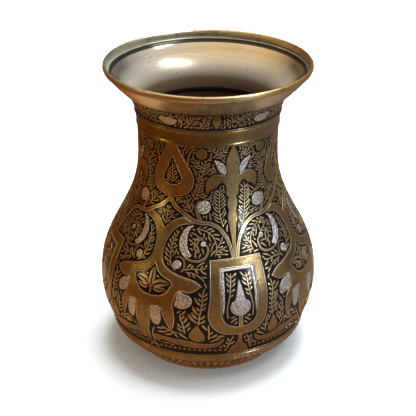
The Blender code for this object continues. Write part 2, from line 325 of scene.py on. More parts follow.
def inside(points, loop, holes=()):
    """Which of the points lie in the loop and in none of the holes."""
    x, y = points[:, 0], points[:, 1]
    result = np.zeros(len(points), bool)
    for (x0, y0), (x1, y1) in zip(loop, np.roll(loop, -1, axis=0)):
        if y0 != y1:
            hit = (y0 > y) != (y1 > y)
            result ^= hit & (x < (x1 - x0) * (y - y0) / (y1 - y0) + x0)
    for hole in holes:
        result &= ~inside(points, hole)
    return result


def line_distance(points, starts, ends, half_widths):
    """Distance of the points from the nearest of some thick lines."""
    best = np.full(points.shape[:-1], np.inf)
    for p, q, half in zip(starts, ends, half_widths):
        d = q - p
        t = np.clip(((points - p) @ d) / max(float(d @ d), TINY), 0.0, 1.0)
        best = np.minimum(best, np.linalg.norm(points - p - t[..., None] * d, axis=-1) - half)
    return best


def distance_to(points, loop):
    return line_distance(points, loop, np.roll(loop, -1, axis=0), np.zeros(len(loop)))


def distance_to_line(points, path, width):
    return line_distance(points, path, path[1:], (width[1:] + width[:-1]) / 2.0)


# ---------------------------------------------------------------- meshes

def placed(name, data):
    obj = bpy.data.objects.new(name, data)
    bpy.context.scene.collection.objects.link(obj)
    return obj


def finished(mesh, materials, uvs, sharp):
    """Gives a mesh its bake layer, its materials and its sharp edges, and adds it on root."""
    layer = mesh.uv_layers.new(name="OFBake")
    layer.data.foreach_set("uv", np.array(uvs, np.float32).ravel())
    mesh.shade_smooth()
    mesh.set_sharp_from_angle(angle=math.radians(sharp))
    for material in materials:
        mesh.materials.append(material)
    obj = placed(mesh.name, mesh)
    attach(obj, "root")
    return obj


class Relief:
    """Closed raised shapes gathered into one mesh."""

    def __init__(self):
        self.points, self.laid, self.height, self.tone = [], [], [], []
        self.faces, self.hidden = [], []
        self.count = 0

    def add(self, spots, depth, height, faces, hidden, place, tone):
        """spots are (n, 2) in the motif; hidden marks faces that meet the ground."""
        laid = place.lay(spots)
        self.points.append(pot_points(laid[:, 0], laid[:, 1], depth))
        self.laid.append(laid)
        self.height.append(height)
        self.tone.append(np.full(len(laid), tone))
        for face in faces:
            ids = [self.count + i for i in face]
            self.faces.append(ids[::-1] if place.side < 0 else ids)
        self.hidden.extend(hidden)
        self.count += len(laid)

    def make(self, name, material, slot):
        mesh = bpy.data.meshes.new(name)
        mesh.from_pydata(np.concatenate(self.points).tolist(), [], self.faces)
        for label, parts in (("relief", self.height), ("tone", self.tone)):
            values = mesh.attributes.new(label, "FLOAT", "POINT")
            values.data.foreach_set("value", np.concatenate(parts).astype(np.float32))
        laid = np.concatenate(self.laid)
        low, high = laid.min(0), laid.max(0)
        spread = (laid - low) / (high - low) * 0.96 + 0.03
        uvs = np.concatenate([spread[face] for face in self.faces])
        buried = np.repeat(np.array(self.hidden, bool), [len(face) for face in self.faces])
        uvs[buried] *= 0.02      # hidden faces share a corner that nothing else is baked to
        return finished(mesh, [material], uvs, 50.0)


# Sections of raised lines: columns across, drop of the shoulders, relief values, drop at the ends
# Relief values near 1 get the rubbed colour with its painted highlight
STROKE = (np.array([-1.0, -0.74, 0.0, 0.74, 1.0]), 0.05, [0.0, 0.75, 1.0, 0.75, 0.0], 0.08)
RIBBON = (np.array([-1.0, -0.84, 0.0, 0.84, 1.0]), 0.02, [0.0, 1.0, 0.9, 1.0, 0.0], 0.0)


def sweep(relief, line, place, tone, top, section=STROKE):
    """A raised line in the pattern; line is its path and its half-widths."""
    path, half_width = line
    columns, drop, values, rounding = section
    n = len(path)
    across = (half_width[:, None] * columns)[:, :, None]
    spots = path[:, None, :] + sideways(path)[:, None, :] * across
    depth = np.tile([FOOTING, top + drop, top, top + drop, FOOTING], (n, 1))
    depth[[0, -1], 1:4] += rounding
    faces, hidden = [], []
    for row in range(0, 5 * (n - 1), 5):
        for j in range(row, row + 4):
            faces.append((j, j + 5, j + 6, j + 1))
            hidden.append(False)
        faces.append((row + 4, row + 9, row + 5, row))
        hidden.append(True)
    last = 5 * (n - 1)
    faces += [(0, 1, 2, 3, 4), (last + 4, last + 3, last + 2, last + 1, last)]
    hidden += [False, False]
    relief.add(spots.reshape(-1, 2), depth.ravel(), np.tile(values, n), faces, hidden, place, tone)


# Rings from a plate's edge inwards: inset in angle, depth below the plate's top, relief value
# Relief values near 1 get the rubbed colour with its painted highlight
PLAIN_EDGE = ((0.0, 0.06, 0.8), (0.0022, 0.0, 1.0), (0.0045, 0.0, 0.9))
CONTOUR_EDGE = ((0.0, 0.07, 0.8), (0.0025, 0.0, 1.0), (0.0085, 0.0, 1.0), (0.0105, 0.09, 0.35),
                (0.0130, 0.09, 0.35), (0.0150, 0.0, 0.9), (0.0175, 0.0, 0.9))
FILL_STEP = 0.05         # in angle


class Plate:
    """A flat raised shape with a bevelled edge, and holes through it."""

    def __init__(self, outline, top=PLATE_TOP, hole=None, edge=PLAIN_EDGE):
        self.outer = smooth_loop(outline)
        self.holes = [smooth_loop(hole)] if hole else []
        self.spots, self.depth, self.height = [], [], []
        self.faces, self.hidden = [], []
        self.count = 0
        rings = [(0.0, FOOTING - top, 0.0), *edge]
        loops = [self.outer] + self.holes
        base_ids, top_ids, top_loops = [], [], []
        for loop, sign in zip(loops, (-1.0, 1.0)):
            start, n = self.count, len(loop)
            move = inward_moves(loop, sign, edge[-1][0])
            for inset, drop, value in rings:
                self.ring(loop + move * inset, top + drop, value)
            base_ids.append(np.arange(start, start + n))
            top_ids.append(np.arange(self.count - n, self.count))
            top_loops.append(self.spots[-1])
            self.bevel(start, n, len(rings), (loop_area(loop) > 0.0) == (sign < 0.0))
        grid, tris = filled(top_loops, True)
        top_ids.append(np.arange(self.count, self.count + len(grid)))
        self.ring(grid, top, 0.9)
        self.face(np.concatenate(top_ids), tris, False)
        self.face(np.concatenate(base_ids), [tri[::-1] for tri in filled(loops, False)[1]], True)
        self.spots = np.concatenate(self.spots)
        self.depth = np.concatenate(self.depth)
        self.height = np.concatenate(self.height)

    def ring(self, spots, depth, value):
        self.spots.append(spots)
        self.depth.append(np.full(len(spots), depth))
        self.height.append(np.full(len(spots), value))
        self.count += len(spots)

    def bevel(self, start, n, rings, outward):
        """Faces between the rings of one loop."""
        for low in range(start, start + (rings - 1) * n, n):
            for i in range(n):
                j = (i + 1) % n
                quad = (low + i, low + j, low + n + j, low + n + i)
                self.faces.append(quad if outward else quad[::-1])
                self.hidden.append(False)

    def face(self, ids, tris, hidden):
        self.faces += [ids[list(tri)].tolist() for tri in tris]
        self.hidden += [hidden] * len(tris)

    def lay(self, relief, place, tone):
        relief.add(self.spots, self.depth, self.height, self.faces, self.hidden, place, tone)


def filled(loops, with_grid):
    """Grid points and triangles, turning left, that fill the first loop less the others."""
    grid = np.zeros((0, 2))
    if with_grid:
        low, high = loops[0].min(0), loops[0].max(0)
        xs, ys = (np.arange(low[k] + FILL_STEP / 2.0, high[k], FILL_STEP) for k in (0, 1))
        grid = np.array([(x, y) for x in xs for y in ys]).reshape(-1, 2)
        keep = inside(grid, loops[0], loops[1:])
        for loop in loops:
            keep &= distance_to(grid, loop) > FILL_STEP * 0.35
        grid = grid[keep]
    edges, start = [], 0
    for loop in loops:
        n = len(loop)
        edges += [(start + i, start + (i + 1) % n) for i in range(n)]
        start += n
    verts = [Vector(p) for p in np.concatenate([*loops, grid])]
    result = delaunay_2d_cdt(verts, edges, [], 0, 1e-7)
    made = np.array([v[:] for v in result[0]])
    source = [ids[0] if ids else -1 for ids in result[3]]
    tris = np.array(result[2])
    out = []
    for tri in tris[inside(made[tris].mean(1), loops[0], loops[1:])]:
        ids = [source[v] for v in tri]
        if min(ids) >= 0 and len(set(ids)) == 3:
            out.append(ids if loop_area(made[tri]) > 0.0 else ids[::-1])
    return grid, out


def rounded_section(points, radius, steps=3):
    """The closed section with its corners rounded."""
    out = []
    n = len(points)
    for i in range(n):
        p, q, r = (np.array(points[k % n], float) for k in (i - 1, i, i + 1))
        u, v = p - q, r - q
        lu, lv = np.linalg.norm(u), np.linalg.norm(v)
        u, v = u / lu, v / lv
        opening = math.acos(float(np.clip(u @ v, -1.0, 1.0)))
        if opening > math.radians(155.0):
            out.append(tuple(q))
            continue
        cut = min(radius / math.tan(opening / 2.0), 0.45 * lu, 0.45 * lv)
        for k in range(steps + 1):
            t = k / steps
            spot = (1 - t) ** 2 * (q + u * cut) + 2 * t * (1 - t) * q + t ** 2 * (q + v * cut)
            out.append(tuple(spot))
    return out


def lathe(name, section, materials, chooser=None, segments=ROUND_SEGMENTS, dented=1.0):
    """A closed section of (r, z) turned round the axis; chooser picks a face's material."""
    sec = np.array(section)
    n = len(sec)
    on_axis = sec[:, 0] < 1e-6
    angle = np.arange(segments)[:, None] * math.tau / segments
    r = sec[:, 0] - dented * dent(angle, sec[:, 1]) * ~on_axis
    points = round_points(r, angle, np.broadcast_to(sec[:, 1], r.shape)).reshape(-1, 3)
    ids = np.arange(segments * n).reshape(segments, n)
    ids[:, on_axis] = ids[0, on_axis]
    step = np.linalg.norm(np.roll(sec, -1, axis=0) - sec, axis=1)
    along = np.concatenate([[0.0], np.cumsum(step)])
    along /= along[-1]
    outward = loop_area(sec) < 0.0
    faces, uvs, picks = [], [], []
    for j in range(n):
        k = (j + 1) % n
        if on_axis[j] and on_axis[k]:
            continue
        middle = (sec[j] + sec[k]) / 2.0
        pick = chooser(*middle) if chooser else 0
        for i in range(segments):
            m = (i + 1) % segments
            corners = [ids[i, j], ids[i, k], ids[m, k], ids[m, j]]
            spots = [(i, j), (i, j + 1), (i + 1, j + 1), (i + 1, j)]
            if not outward:
                corners, spots = corners[::-1], spots[::-1]
            kept = [q for q in range(4) if corners[q] != corners[q - 1]]
            faces.append([corners[q] for q in kept])
            uvs += [(spots[q][0] / segments, along[spots[q][1]]) for q in kept]
            picks.append(pick)
    used = np.unique(np.concatenate(faces))
    renumber = np.zeros(segments * n, int)
    renumber[used] = np.arange(len(used))
    mesh = bpy.data.meshes.new(name)
    mesh.from_pydata(points[used].tolist(), [], [renumber[face].tolist() for face in faces])
    mesh.polygons.foreach_set("material_index", np.array(picks, np.int32))
    return finished(mesh, materials, uvs, 60.0)


# ---------------------------------------------------------------- the pattern, (angle, climb)

A = HALF                       # the rosette's axis, short for the tables below
TEARDROP = on_rosette([
    (0.0, 3.005), (0.064, 3.0), (0.11, 2.9), (0.165, 2.8), (0.215, 2.7), (0.262, 2.6),
    (0.287, 2.53), (0.292, 2.46), (0.28, 2.39), (0.245, 2.32), (0.19, 2.275), (0.10, 2.245),
    (0.04, 2.22), (0.0, 2.20, SHARP)])
TEARDROP_HOLE = on_rosette([
    (0.0, 2.805, SHARP), (0.03, 2.74), (0.06, 2.66), (0.092, 2.59), (0.115, 2.54),
    (0.122, 2.49), (0.11, 2.45), (0.08, 2.418), (0.04, 2.403), (0.0, 2.40)])
ROSETTE = on_rosette([
    (0.0, 1.82, SHARP), (0.04, 1.87), (0.08, 1.92), (0.14, 1.96), (0.21, 1.992, SHARP),
    (0.29, 1.95), (0.362, 1.918, SHARP), (0.286, 1.91), (0.21, 1.89), (0.143, 1.84),
    (0.095, 1.77), (0.069, 1.70), (0.055, 1.63), (0.055, 1.55), (0.073, 1.48),
    (0.107, 1.435), (0.155, 1.405), (0.23, 1.375), (0.30, 1.353), (0.36, 1.337),
    (0.41, 1.312), (0.462, 1.268, SHARP), (0.425, 1.24), (0.39, 1.215), (0.343, 1.205),
    (0.29, 1.218), (0.25, 1.20), (0.24, 1.14), (0.245, 1.09), (0.275, 1.03), (0.29, 0.96),
    (0.285, 0.88), (0.262, 0.80, SHARP), (0.235, 0.86), (0.21, 0.92), (0.19, 0.98),
    (0.175, 1.04, SHARP), (0.178, 0.97), (0.165, 0.90), (0.13, 0.88), (0.10, 0.90),
    (0.083, 0.97), (0.075, 1.035, SHARP), (0.070, 0.97), (0.077, 0.91), (0.074, 0.85),
    (0.058, 0.78), (0.038, 0.71), (0.0, 0.64, SHARP)])
CARTOUCHE = on_rosette([
    (0.0, 1.425, SHARP), (0.018, 1.405), (0.045, 1.365), (0.085, 1.335), (0.13, 1.315),
    (0.17, 1.30), (0.195, 1.275, SHARP), (0.182, 1.245), (0.165, 1.212), (0.14, 1.18),
    (0.105, 1.155), (0.055, 1.14), (0.0, 1.135)])
FLEUR = mirrored([
    (0.014, 1.50, SHARP), (0.014, 1.56), (0.016, 1.64), (0.022, 1.72), (0.034, 1.82),
    (0.041, 1.89), (0.055, 1.93), (0.057, 2.0), (0.046, 2.05), (0.046, 2.085),
    (0.060, 2.12), (0.062, 2.17),
    (0.055, 2.215), (0.045, 2.245), (0.07, 2.265), (0.08, 2.30), (0.078, 2.34),
    (0.085, 2.39), (0.10, 2.43), (0.125, 2.455), (0.155, 2.462), (0.18, 2.435),
    (0.205, 2.40), (0.235, 2.385), (0.27, 2.37), (0.30, 2.335), (0.312, 2.30, SHARP),
    (0.335, 2.35), (0.343, 2.42), (0.335, 2.48), (0.31, 2.525), (0.265, 2.56),
    (0.21, 2.58), (0.15, 2.565), (0.11, 2.552), (0.085, 2.555), (0.070, 2.60),
    (0.08, 2.66), (0.086, 2.70), (0.085, 2.75), (0.077, 2.80), (0.062, 2.85),
    (0.042, 2.90), (0.02, 2.95), (0.0, 3.0, SHARP)])
SHIELD = mirrored([
    (0.0, 1.52), (0.13, 1.52), (0.257, 1.52, SHARP), (0.257, 1.42), (0.257, 1.27),
    (0.257, 1.12), (0.257, 1.0), (0.245, 0.93), (0.22, 0.87), (0.185, 0.83), (0.14, 0.80),
    (0.08, 0.785), (0.0, 0.78)])
SHIELD_WINDOW = mirrored([
    (0.0, 1.425), (0.08, 1.425), (0.158, 1.425, SHARP), (0.158, 1.33), (0.158, 1.2),
    (0.157, 1.06), (0.146, 0.97), (0.115, 0.905), (0.06, 0.873), (0.0, 0.865)])
SHIELD_LINER = mirrored([
    (0.0, 1.421), (0.08, 1.421), (0.154, 1.421, SHARP), (0.154, 1.33), (0.154, 1.2),
    (0.153, 1.06), (0.144, 0.985, SHARP), (0.133, 1.06), (0.133, 1.2), (0.133, 1.33),
    (0.133, 1.40, SHARP), (0.08, 1.40), (0.0, 1.40)])
SHIELD_STALK = [(0.0, 1.0), (0.0, 0.94), (0.0, 0.868)]
SHIELD_FOOT = mirrored([
    (0.0, 0.79), (0.017, 0.79, SHARP), (0.018, 0.70), (0.038, 0.65), (0.065, 0.62), (0.085, 0.56),
    (0.10, 0.525, SHARP), (0.05, 0.525), (0.0, 0.525)])
SHIELD_DROP = [
    (0.0, 1.305), (-0.022, 1.22), (-0.045, 1.125), (-0.074, 1.10), (-0.087, 1.06),
    (-0.078, 1.02), (-0.05, 0.99), (-0.02, 0.975), (0.02, 0.975), (0.05, 0.99),
    (0.078, 1.02), (0.087, 1.06), (0.074, 1.10), (0.045, 1.125), (0.022, 1.22)]
SCROLL_CRESCENT = [
    (0.448, 1.90), (0.478, 1.862), (0.497, 1.81), (0.500, 1.74), (0.492, 1.67),
    (0.470, 1.612), (0.436, 1.572), (0.478, 1.545), (0.526, 1.57), (0.565, 1.63),
    (0.580, 1.72), (0.560, 1.81), (0.512, 1.88)]
ROSETTE_PETAL = [
    (0.528, 1.215), (0.47, 1.195), (0.425, 1.175), (0.397, 1.13), (0.402, 1.085),
    (0.44, 1.055), (0.485, 1.06), (0.53, 1.095)]
LOWER_PETAL = [
    (0.618, 1.03), (0.606, 0.97), (0.606, 0.91), (0.622, 0.868), (0.652, 0.852),
    (0.682, 0.872), (0.700, 0.92), (0.706, 0.97), (0.702, 1.035), (0.66, 1.05)]
FLEUR_PETAL = [
    (0.238, 2.785), (0.158, 2.752), (0.100, 2.69), (0.082, 2.62), (0.098, 2.568),
    (0.140, 2.58), (0.183, 2.635), (0.212, 2.71)]
NECK_LEAF = [
    (-0.135, 3.355), (-0.115, 3.305), (-0.06, 3.27), (0.0, 3.262), (0.06, 3.275),
    (0.11, 3.31), (0.13, 3.365), (0.075, 3.385), (0.045, 3.41), (-0.01, 3.385),
    (-0.07, 3.405), (-0.10, 3.375)]
NECK_DROP = [
    (0.0, 3.25), (0.035, 3.30), (0.05, 3.36), (0.04, 3.42), (0.022, 3.48), (0.0, 3.495),
    (-0.022, 3.48), (-0.04, 3.42), (-0.05, 3.36), (-0.035, 3.30)]
BUD_TALL = 1.04          # a bud is this much taller than wide
BUD_SIDES = 16


def bud(angle, climb, radius):
    turns = [math.tau * i / BUD_SIDES for i in range(BUD_SIDES)]
    return [(angle + radius * math.cos(t), climb + BUD_TALL * radius * math.sin(t))
            for t in turns]


SWAG = [
    (0.695, 0.63, SHARP), (0.735, 0.66), (0.71, 0.71), (0.67, 0.735), (0.60, 0.725),
    (0.52, 0.72), (0.44, 0.715), (0.38, 0.70), (0.33, 0.685), (0.27, 0.68), (0.20, 0.69),
    (0.16, 0.72), (0.13, 0.75, SHARP), (0.14, 0.70), (0.17, 0.655), (0.22, 0.625),
    (0.30, 0.612), (0.40, 0.615), (0.50, 0.635), (0.58, 0.66), (0.63, 0.675), (0.665, 0.678)]
LEAF_DROP = [
    (0.333, 0.90, SHARP), (0.386, 0.80), (0.386, 0.74), (0.347, 0.71), (0.29, 0.72),
    (0.28, 0.78), (0.305, 0.84)]

# Flat ribbons: path, half-widths at its start, middle and end
OGEE_BAND = ([
    (0.785, 2.20), (0.75, 2.165), (0.715, 2.125), (0.68, 2.09), (0.625, 2.055),
    (0.56, 2.018), (0.462, 1.96), (0.367, 1.935), (0.271, 1.93), (0.176, 1.88),
    (0.11, 1.80), (0.067, 1.72), (0.038, 1.62), (0.02, 1.52)], (0.030, 0.027, 0.018))
BUD_STALK = ([(0.375, 1.955), (0.41, 2.03), (0.437, 2.10), (0.432, 2.17), (0.405, 2.215)],
             (0.026, 0.018, 0.007))
UPPER_BUD_STALK = ([(0.575, 2.70), (0.565, 2.80), (0.548, 2.87), (0.505, 2.93), (0.45, 2.95)],
                   (0.014, 0.012, 0.007))
SPIRAL = ([(0.50, 1.545), (0.44, 1.52), (0.39, 1.512), (0.345, 1.518), (0.30, 1.545),
           (0.275, 1.60), (0.275, 1.65), (0.30, 1.685)], (0.009, 0.013, 0.009))
BUD_HOOK = ([(0.52, 1.40), (0.497, 1.425), (0.493, 1.48), (0.512, 1.525), (0.55, 1.545),
             (0.592, 1.53)], (0.010, 0.009, 0.005))
RIBBONS = [OGEE_BAND, BUD_STALK, UPPER_BUD_STALK, SPIRAL, BUD_HOOK]

CENTRE_STEMS = [   # on a motif's axis; leaflets grow to both sides
    [(A, 1.87), (A, 1.95), (A, 2.04), (A, 2.11)],
    [(A, 2.43), (A, 2.53), (A, 2.64), (A, 2.74)],
    [(A, 0.545), (A, 0.58), (A, 0.62)],
]
STEMS = [
    [(0.46, 2.22), (0.44, 2.30), (0.415, 2.38), (0.395, 2.48), (0.385, 2.56), (0.375, 2.66)],
    [(0.385, 2.56), (0.36, 2.66), (0.345, 2.74), (0.31, 2.80), (0.26, 2.83), (0.20, 2.87),
     (0.13, 2.905), (0.07, 2.93)],
    [(0.39, 2.60), (0.42, 2.70), (0.46, 2.77), (0.50, 2.80)],
    [(0.36, 2.62), (0.32, 2.65), (0.275, 2.66), (0.23, 2.67)],
    [(0.625, 2.84), (0.65, 2.93)],
    [(0.597, 2.87), (0.56, 2.94), (0.525, 2.965)],
    [(0.11, 1.87), (0.135, 1.95), (0.155, 2.05), (0.16, 2.15), (0.165, 2.25), (0.165, 2.35),
     (0.15, 2.41)],
    [(0.44, 2.29), (0.38, 2.26), (0.31, 2.235), (0.25, 2.25)],
    [(0.455, 2.02), (0.49, 2.06), (0.52, 2.11), (0.545, 2.17), (0.56, 2.23)],
    [(0.52, 2.11), (0.50, 2.18), (0.475, 2.24)],
    [(0.53, 2.12), (0.585, 2.165), (0.645, 2.195), (0.715, 2.22)],
    [(0.57, 1.405), (0.614, 1.445), (0.64, 1.51), (0.652, 1.60), (0.645, 1.68),
     (0.625, 1.75), (0.595, 1.82)],
    [(0.325, 1.73), (0.36, 1.765), (0.40, 1.75), (0.42, 1.70), (0.41, 1.64), (0.37, 1.60)],
    [(0.414, 1.865), (0.32, 1.845), (0.25, 1.80), (0.21, 1.74), (0.19, 1.68), (0.185, 1.62),
     (0.20, 1.56)],
    [(0.185, 1.63), (0.15, 1.69), (0.12, 1.76)],
    [(0.185, 1.60), (0.13, 1.625), (0.08, 1.65)],
    [(0.19, 1.575), (0.13, 1.57), (0.07, 1.56)],
    [(0.49, 1.42), (0.42, 1.435), (0.35, 1.43), (0.29, 1.44)],
    [(0.47, 1.40), (0.40, 1.39), (0.345, 1.355), (0.30, 1.31)],
    [(0.32, 0.90), (0.315, 0.97), (0.31, 1.04), (0.312, 1.12), (0.315, 1.19), (0.30, 1.25)],
    [(0.42, 0.80), (0.43, 0.88), (0.45, 0.95), (0.455, 1.0)],
    [(0.48, 0.79), (0.54, 0.815), (0.60, 0.85)],
    [(0.25, 0.74), (0.245, 0.82), (0.25, 0.90)],
    [(0.76, 0.60), (0.735, 0.68), (0.70, 0.75), (0.665, 0.82)],
    [(0.10, 0.60), (0.09, 0.66), (0.075, 0.72), (0.06, 0.76)],
    [(0.106, 0.96), (0.112, 1.05), (0.10, 1.12), (0.085, 1.20), (0.078, 1.28), (0.07, 1.37)],
]
SPRIG = [   # split leaves of the rosette's cartouche: base, bend, tip, half-width
    ((A, 1.21), (A, 1.31), (A, 1.40), 0.030),
    ((A - 0.02, 1.225), (A - 0.09, 1.262), (A - 0.175, 1.27), 0.036),
    ((A - 0.03, 1.205), (A - 0.08, 1.20), (A - 0.145, 1.212), 0.022),
]
SPRIG_STEM = [(A, 1.145), (A, 1.18), (A, 1.22)]
NECK_STEMS = [
    [(0.16, 3.25), (0.19, 3.31), (0.17, 3.39), (0.13, 3.45)],
    [(0.21, 3.25), (0.28, 3.31), (0.33, 3.39), (0.36, 3.46)],
    [(0.28, 3.31), (0.24, 3.38), (0.22, 3.45)],
    [(0.40, 3.25), (0.45, 3.32), (0.48, 3.40), (0.49, 3.46)],
    [(0.0, 3.42), (0.0, 3.48)],
]
BEADS = 14                 # in a half-sector
BEAD_START, BEAD_PITCH = 0.115, 0.045
BEAD_CLIMB = 0.578
NECK_STROKE_PITCH = 0.07
FOOT_STROKES = 84

STEM_HALF = 0.0070
LEAFLET_LENGTHS = (0.102, 0.094, 0.086, 0.077, 0.068, 0.059, 0.050, 0.041, 0.033)
LEAFLET_HALF = 0.0105
LEAFLET_PITCH = 0.044
LEAFLET_TURN = math.radians(64.0)
LEAFLET_BEND = 0.38
LEAFLET_GAP = 0.0070
PLATE_HALO = 0.0095        # extra dark space round plates
LEAFLET_SHAPE = np.array([0.32, 0.66, 0.96, 1.0, 0.36])   # share of the half-width, root to tip
UNEVEN = (0.94, 1.06)      # range of a hand-cut length or pitch
BRANCH_REACH = 0.55        # share of the roomy place's radius that a branch runs on beyond it
BRANCH_BEND = 0.12
MOST_BRANCHES = 80
MOST_FILLS = 500
FILL_SCALE = 0.9           # width and gap of filling leaflets against those along stems
FILL_BEND = 0.18
SIGHT_ROOM = 0.011         # room along a new stem's way past the plates
BRANCH_ROOM = 0.068        # a place this far from every stem and plate gets a branch
FILL_ROOM = 0.0185
FILL_TURNS = (0.0, 0.25, -0.25, 0.55, -0.55, 0.95, -0.95, 1.4)   # from the nearest leaflet


class Field:
    """Free room in one stretch of the pattern, kept on a fine grid."""

    STEP = 0.006
    REACH = 0.09               # room further than this from a leaflet doesn't change

    def __init__(self, width, low, high):
        self.low = low
        across, up = int(width / self.STEP), int((high - low) / self.STEP)
        xs = (np.arange(across) + 0.5) * self.STEP
        ys = (np.arange(up) + 0.5) * self.STEP + low
        self.grid = np.stack(np.meshgrid(xs, ys, indexing="ij"), -1)
        edge = np.minimum(self.grid[..., 1] - low, high - self.grid[..., 1])
        sides = np.minimum(self.grid[..., 0], width - self.grid[..., 0])
        self.room = np.minimum(edge, sides) + 0.004

    def spare(self):
        """A copy whose room can be used up without touching this one's."""
        other = copy.copy(self)
        other.room = self.room.copy()
        return other

    def limit(self, room):
        self.room = np.minimum(self.room, room)

    def block_plate(self, outer, holes=()):
        points = self.grid.reshape(-1, 2)
        distance = np.min([distance_to(points, loop) for loop in (outer, *holes)], axis=0)
        distance[inside(points, outer, holes)] *= -1.0
        self.limit(distance.reshape(self.room.shape) - PLATE_HALO)

    def line_room(self, path, half_width):
        """Distance of every cell from a line's edge."""
        return distance_to_line(self.grid, path, half_width)

    def block_line(self, path, half_width):
        """Takes a short line's place out of the room, looking only at the cells near it."""
        low = ((path.min(0) - self.REACH - (0.0, self.low)) / self.STEP).astype(int)
        high = ((path.max(0) + self.REACH - (0.0, self.low)) / self.STEP).astype(int)
        window = tuple(slice(max(a, 0), max(b, 0)) for a, b in zip(low, high))
        near = distance_to_line(self.grid[window], path, half_width)
        self.room[window] = np.minimum(self.room[window], near)

    def roomiest(self):
        """Cell with the most room."""
        return np.unravel_index(int(np.argmax(self.room)), self.room.shape)

    def room_at(self, points, room=None):
        """Room at some points, in this field or in other room on its grid; outside it, -1."""
        grid = self.room if room is None else room
        cells = ((points - (0.0, self.low)) / self.STEP).astype(int)
        ok = np.all((cells >= 0) & (cells < grid.shape), axis=1)
        values = np.full(len(points), -1.0)
        values[ok] = grid[tuple(cells[ok].T)]
        return values


def leaflet(base, direction, length, bend):
    """Path of a leaflet that bends a little as it goes."""
    share = np.linspace(0.0, 1.0, len(LEAFLET_SHAPE))
    side = np.array([-direction[1], direction[0]])
    curve = bend * length * share * share
    return base + direction * (share * length)[:, None] + side * curve[:, None]


def turned(vector, angle):
    c, s = math.cos(angle), math.sin(angle)
    return np.array([c * vector[0] - s * vector[1], s * vector[0] + c * vector[1]])


def try_leaflets(field, others, base, direction, bend, rng):
    """Adds the longest leaflet that has room beyond its root, and returns it."""
    for length in LEAFLET_LENGTHS:
        size = length * rng.uniform(*UNEVEN)
        half = LEAFLET_HALF * rng.uniform(0.90, 1.08) * (0.78 + 0.22 * min(length / 0.06, 1.0))
        path = leaflet(base, direction, size, bend)
        width = half * LEAFLET_SHAPE
        free = np.minimum(field.room_at(path[2:]), field.room_at(path[2:], others))
        if np.all(free >= width[2:] + LEAFLET_GAP):
            field.block_line(path, width)
            return path, width
    return None


def grow_fern(field, path, others, rng):
    """Leaflets along a stem; others is the room left by the other stems."""
    found = []
    step = np.linalg.norm(np.diff(path, axis=0), axis=1)
    along = np.concatenate([[0.0], np.cumsum(step)])
    spot = 0.012 + rng.uniform(0.0, 0.008)
    while spot < along[-1] + 0.004:
        i = min(int(np.searchsorted(along, spot)), len(path) - 1)
        base = np.array([np.interp(spot, along, path[:, k]) for k in (0, 1)])
        forward = unit(path[i] - path[i - 1])
        for side in (1.0, -1.0):
            direction = turned(forward, side * (LEAFLET_TURN + rng.uniform(-0.10, 0.10)))
            root = base + direction * STEM_HALF * 0.8
            leaf = try_leaflets(field, others, root, direction, -side * LEAFLET_BEND, rng)
            if leaf:
                found.append(leaf)
        spot += LEAFLET_PITCH * rng.uniform(*UNEVEN)
    return found


def clear_start(field, lines, goal):
    """The nearest point of a stem that sees the goal past the plates, or None."""
    best, start = np.inf, None
    for path, _ in lines:
        for point in path[1::2]:
            gap = float(np.linalg.norm(goal - point))
            sight = point + (goal - point) * np.linspace(0.1, 1.0, 10)[:, None]
            if gap <= best and np.all(field.room_at(sight) > SIGHT_ROOM):
                best, start = gap, point
    return start


def branch_out(base, stems, rng):
    """More stems, so that no place is far from one: each ends beyond a roomy place."""
    lines = [stem_path(s) for s in stems]
    field = base.spare()
    for line in lines:
        field.limit(field.line_room(*line))
    added = []
    for _ in range(MOST_BRANCHES):
        i, j = field.roomiest()
        room = field.room[i, j]
        if room < BRANCH_ROOM:
            break
        goal = field.grid[i, j]
        start = clear_start(base, lines, goal)
        reach = BRANCH_REACH * room
        if start is None:
            direction = turned(np.array([1.0, 0.0]), rng.uniform(0.0, math.tau))
            start = goal - direction * reach
        direction = (goal - start) / np.linalg.norm(goal - start)
        end = goal + direction * reach
        side = np.array([-direction[1], direction[0]]) * rng.choice((-1.0, 1.0))
        middle = (start + end) / 2.0 + side * BRANCH_BEND * np.linalg.norm(end - start)
        added.append([tuple(start), tuple(middle), tuple(end)])
        lines.append(stem_path(added[-1]))
        field.limit(field.line_room(*lines[-1]))
    return added


def longest_at(field, spot, way):
    """The longest leaflet through the spot whose direction is near the way, or None."""
    best = None
    for turn in FILL_TURNS:
        direction = turned(way, turn)
        for length in LEAFLET_LENGTHS:
            if best and length < best[0] * 1.25:
                break
            path = leaflet(spot - direction * length / 2.0, direction, length, FILL_BEND)
            width = LEAFLET_HALF * FILL_SCALE * LEAFLET_SHAPE
            if np.all(field.room_at(path) >= width + LEAFLET_GAP * FILL_SCALE):
                best = (length, path, width)
                break
    return best


def fill_gaps(field, found):
    """More leaflets in the room left, the roomiest first, lying like their nearest neighbour."""
    middles = [path[len(path) // 2] for path, _ in found] or [np.zeros(2)]
    ways = [path[-1] - path[0] for path, _ in found] or [np.array([0.5, 0.87])]
    added = []
    for _ in range(MOST_FILLS):
        i, j = field.roomiest()
        if field.room[i, j] < FILL_ROOM:
            break
        spot = field.grid[i, j]
        nearest = int(np.argmin(np.linalg.norm(np.array(middles) - spot, axis=1)))
        way = ways[nearest] / np.linalg.norm(ways[nearest])
        best = longest_at(field, spot, way)
        if best is None:
            field.room[i, j] = -1.0
            continue
        _, path, width = best
        field.block_line(path, width)
        added.append((path, width))
        middles.append(spot)
        ways.append(path[-1] - path[0])
    return added


def ribbon_path(points, widths):
    path = smooth_path(points, LOOP_STEPS)
    share = np.linspace(0.0, 1.0, len(path))
    return path, np.interp(share, np.linspace(0.0, 1.0, len(widths)), widths)


def stem_path(points):
    path = smooth_path(points)
    width = np.full(len(path), STEM_HALF)
    width[-1] *= 0.4
    return path, width


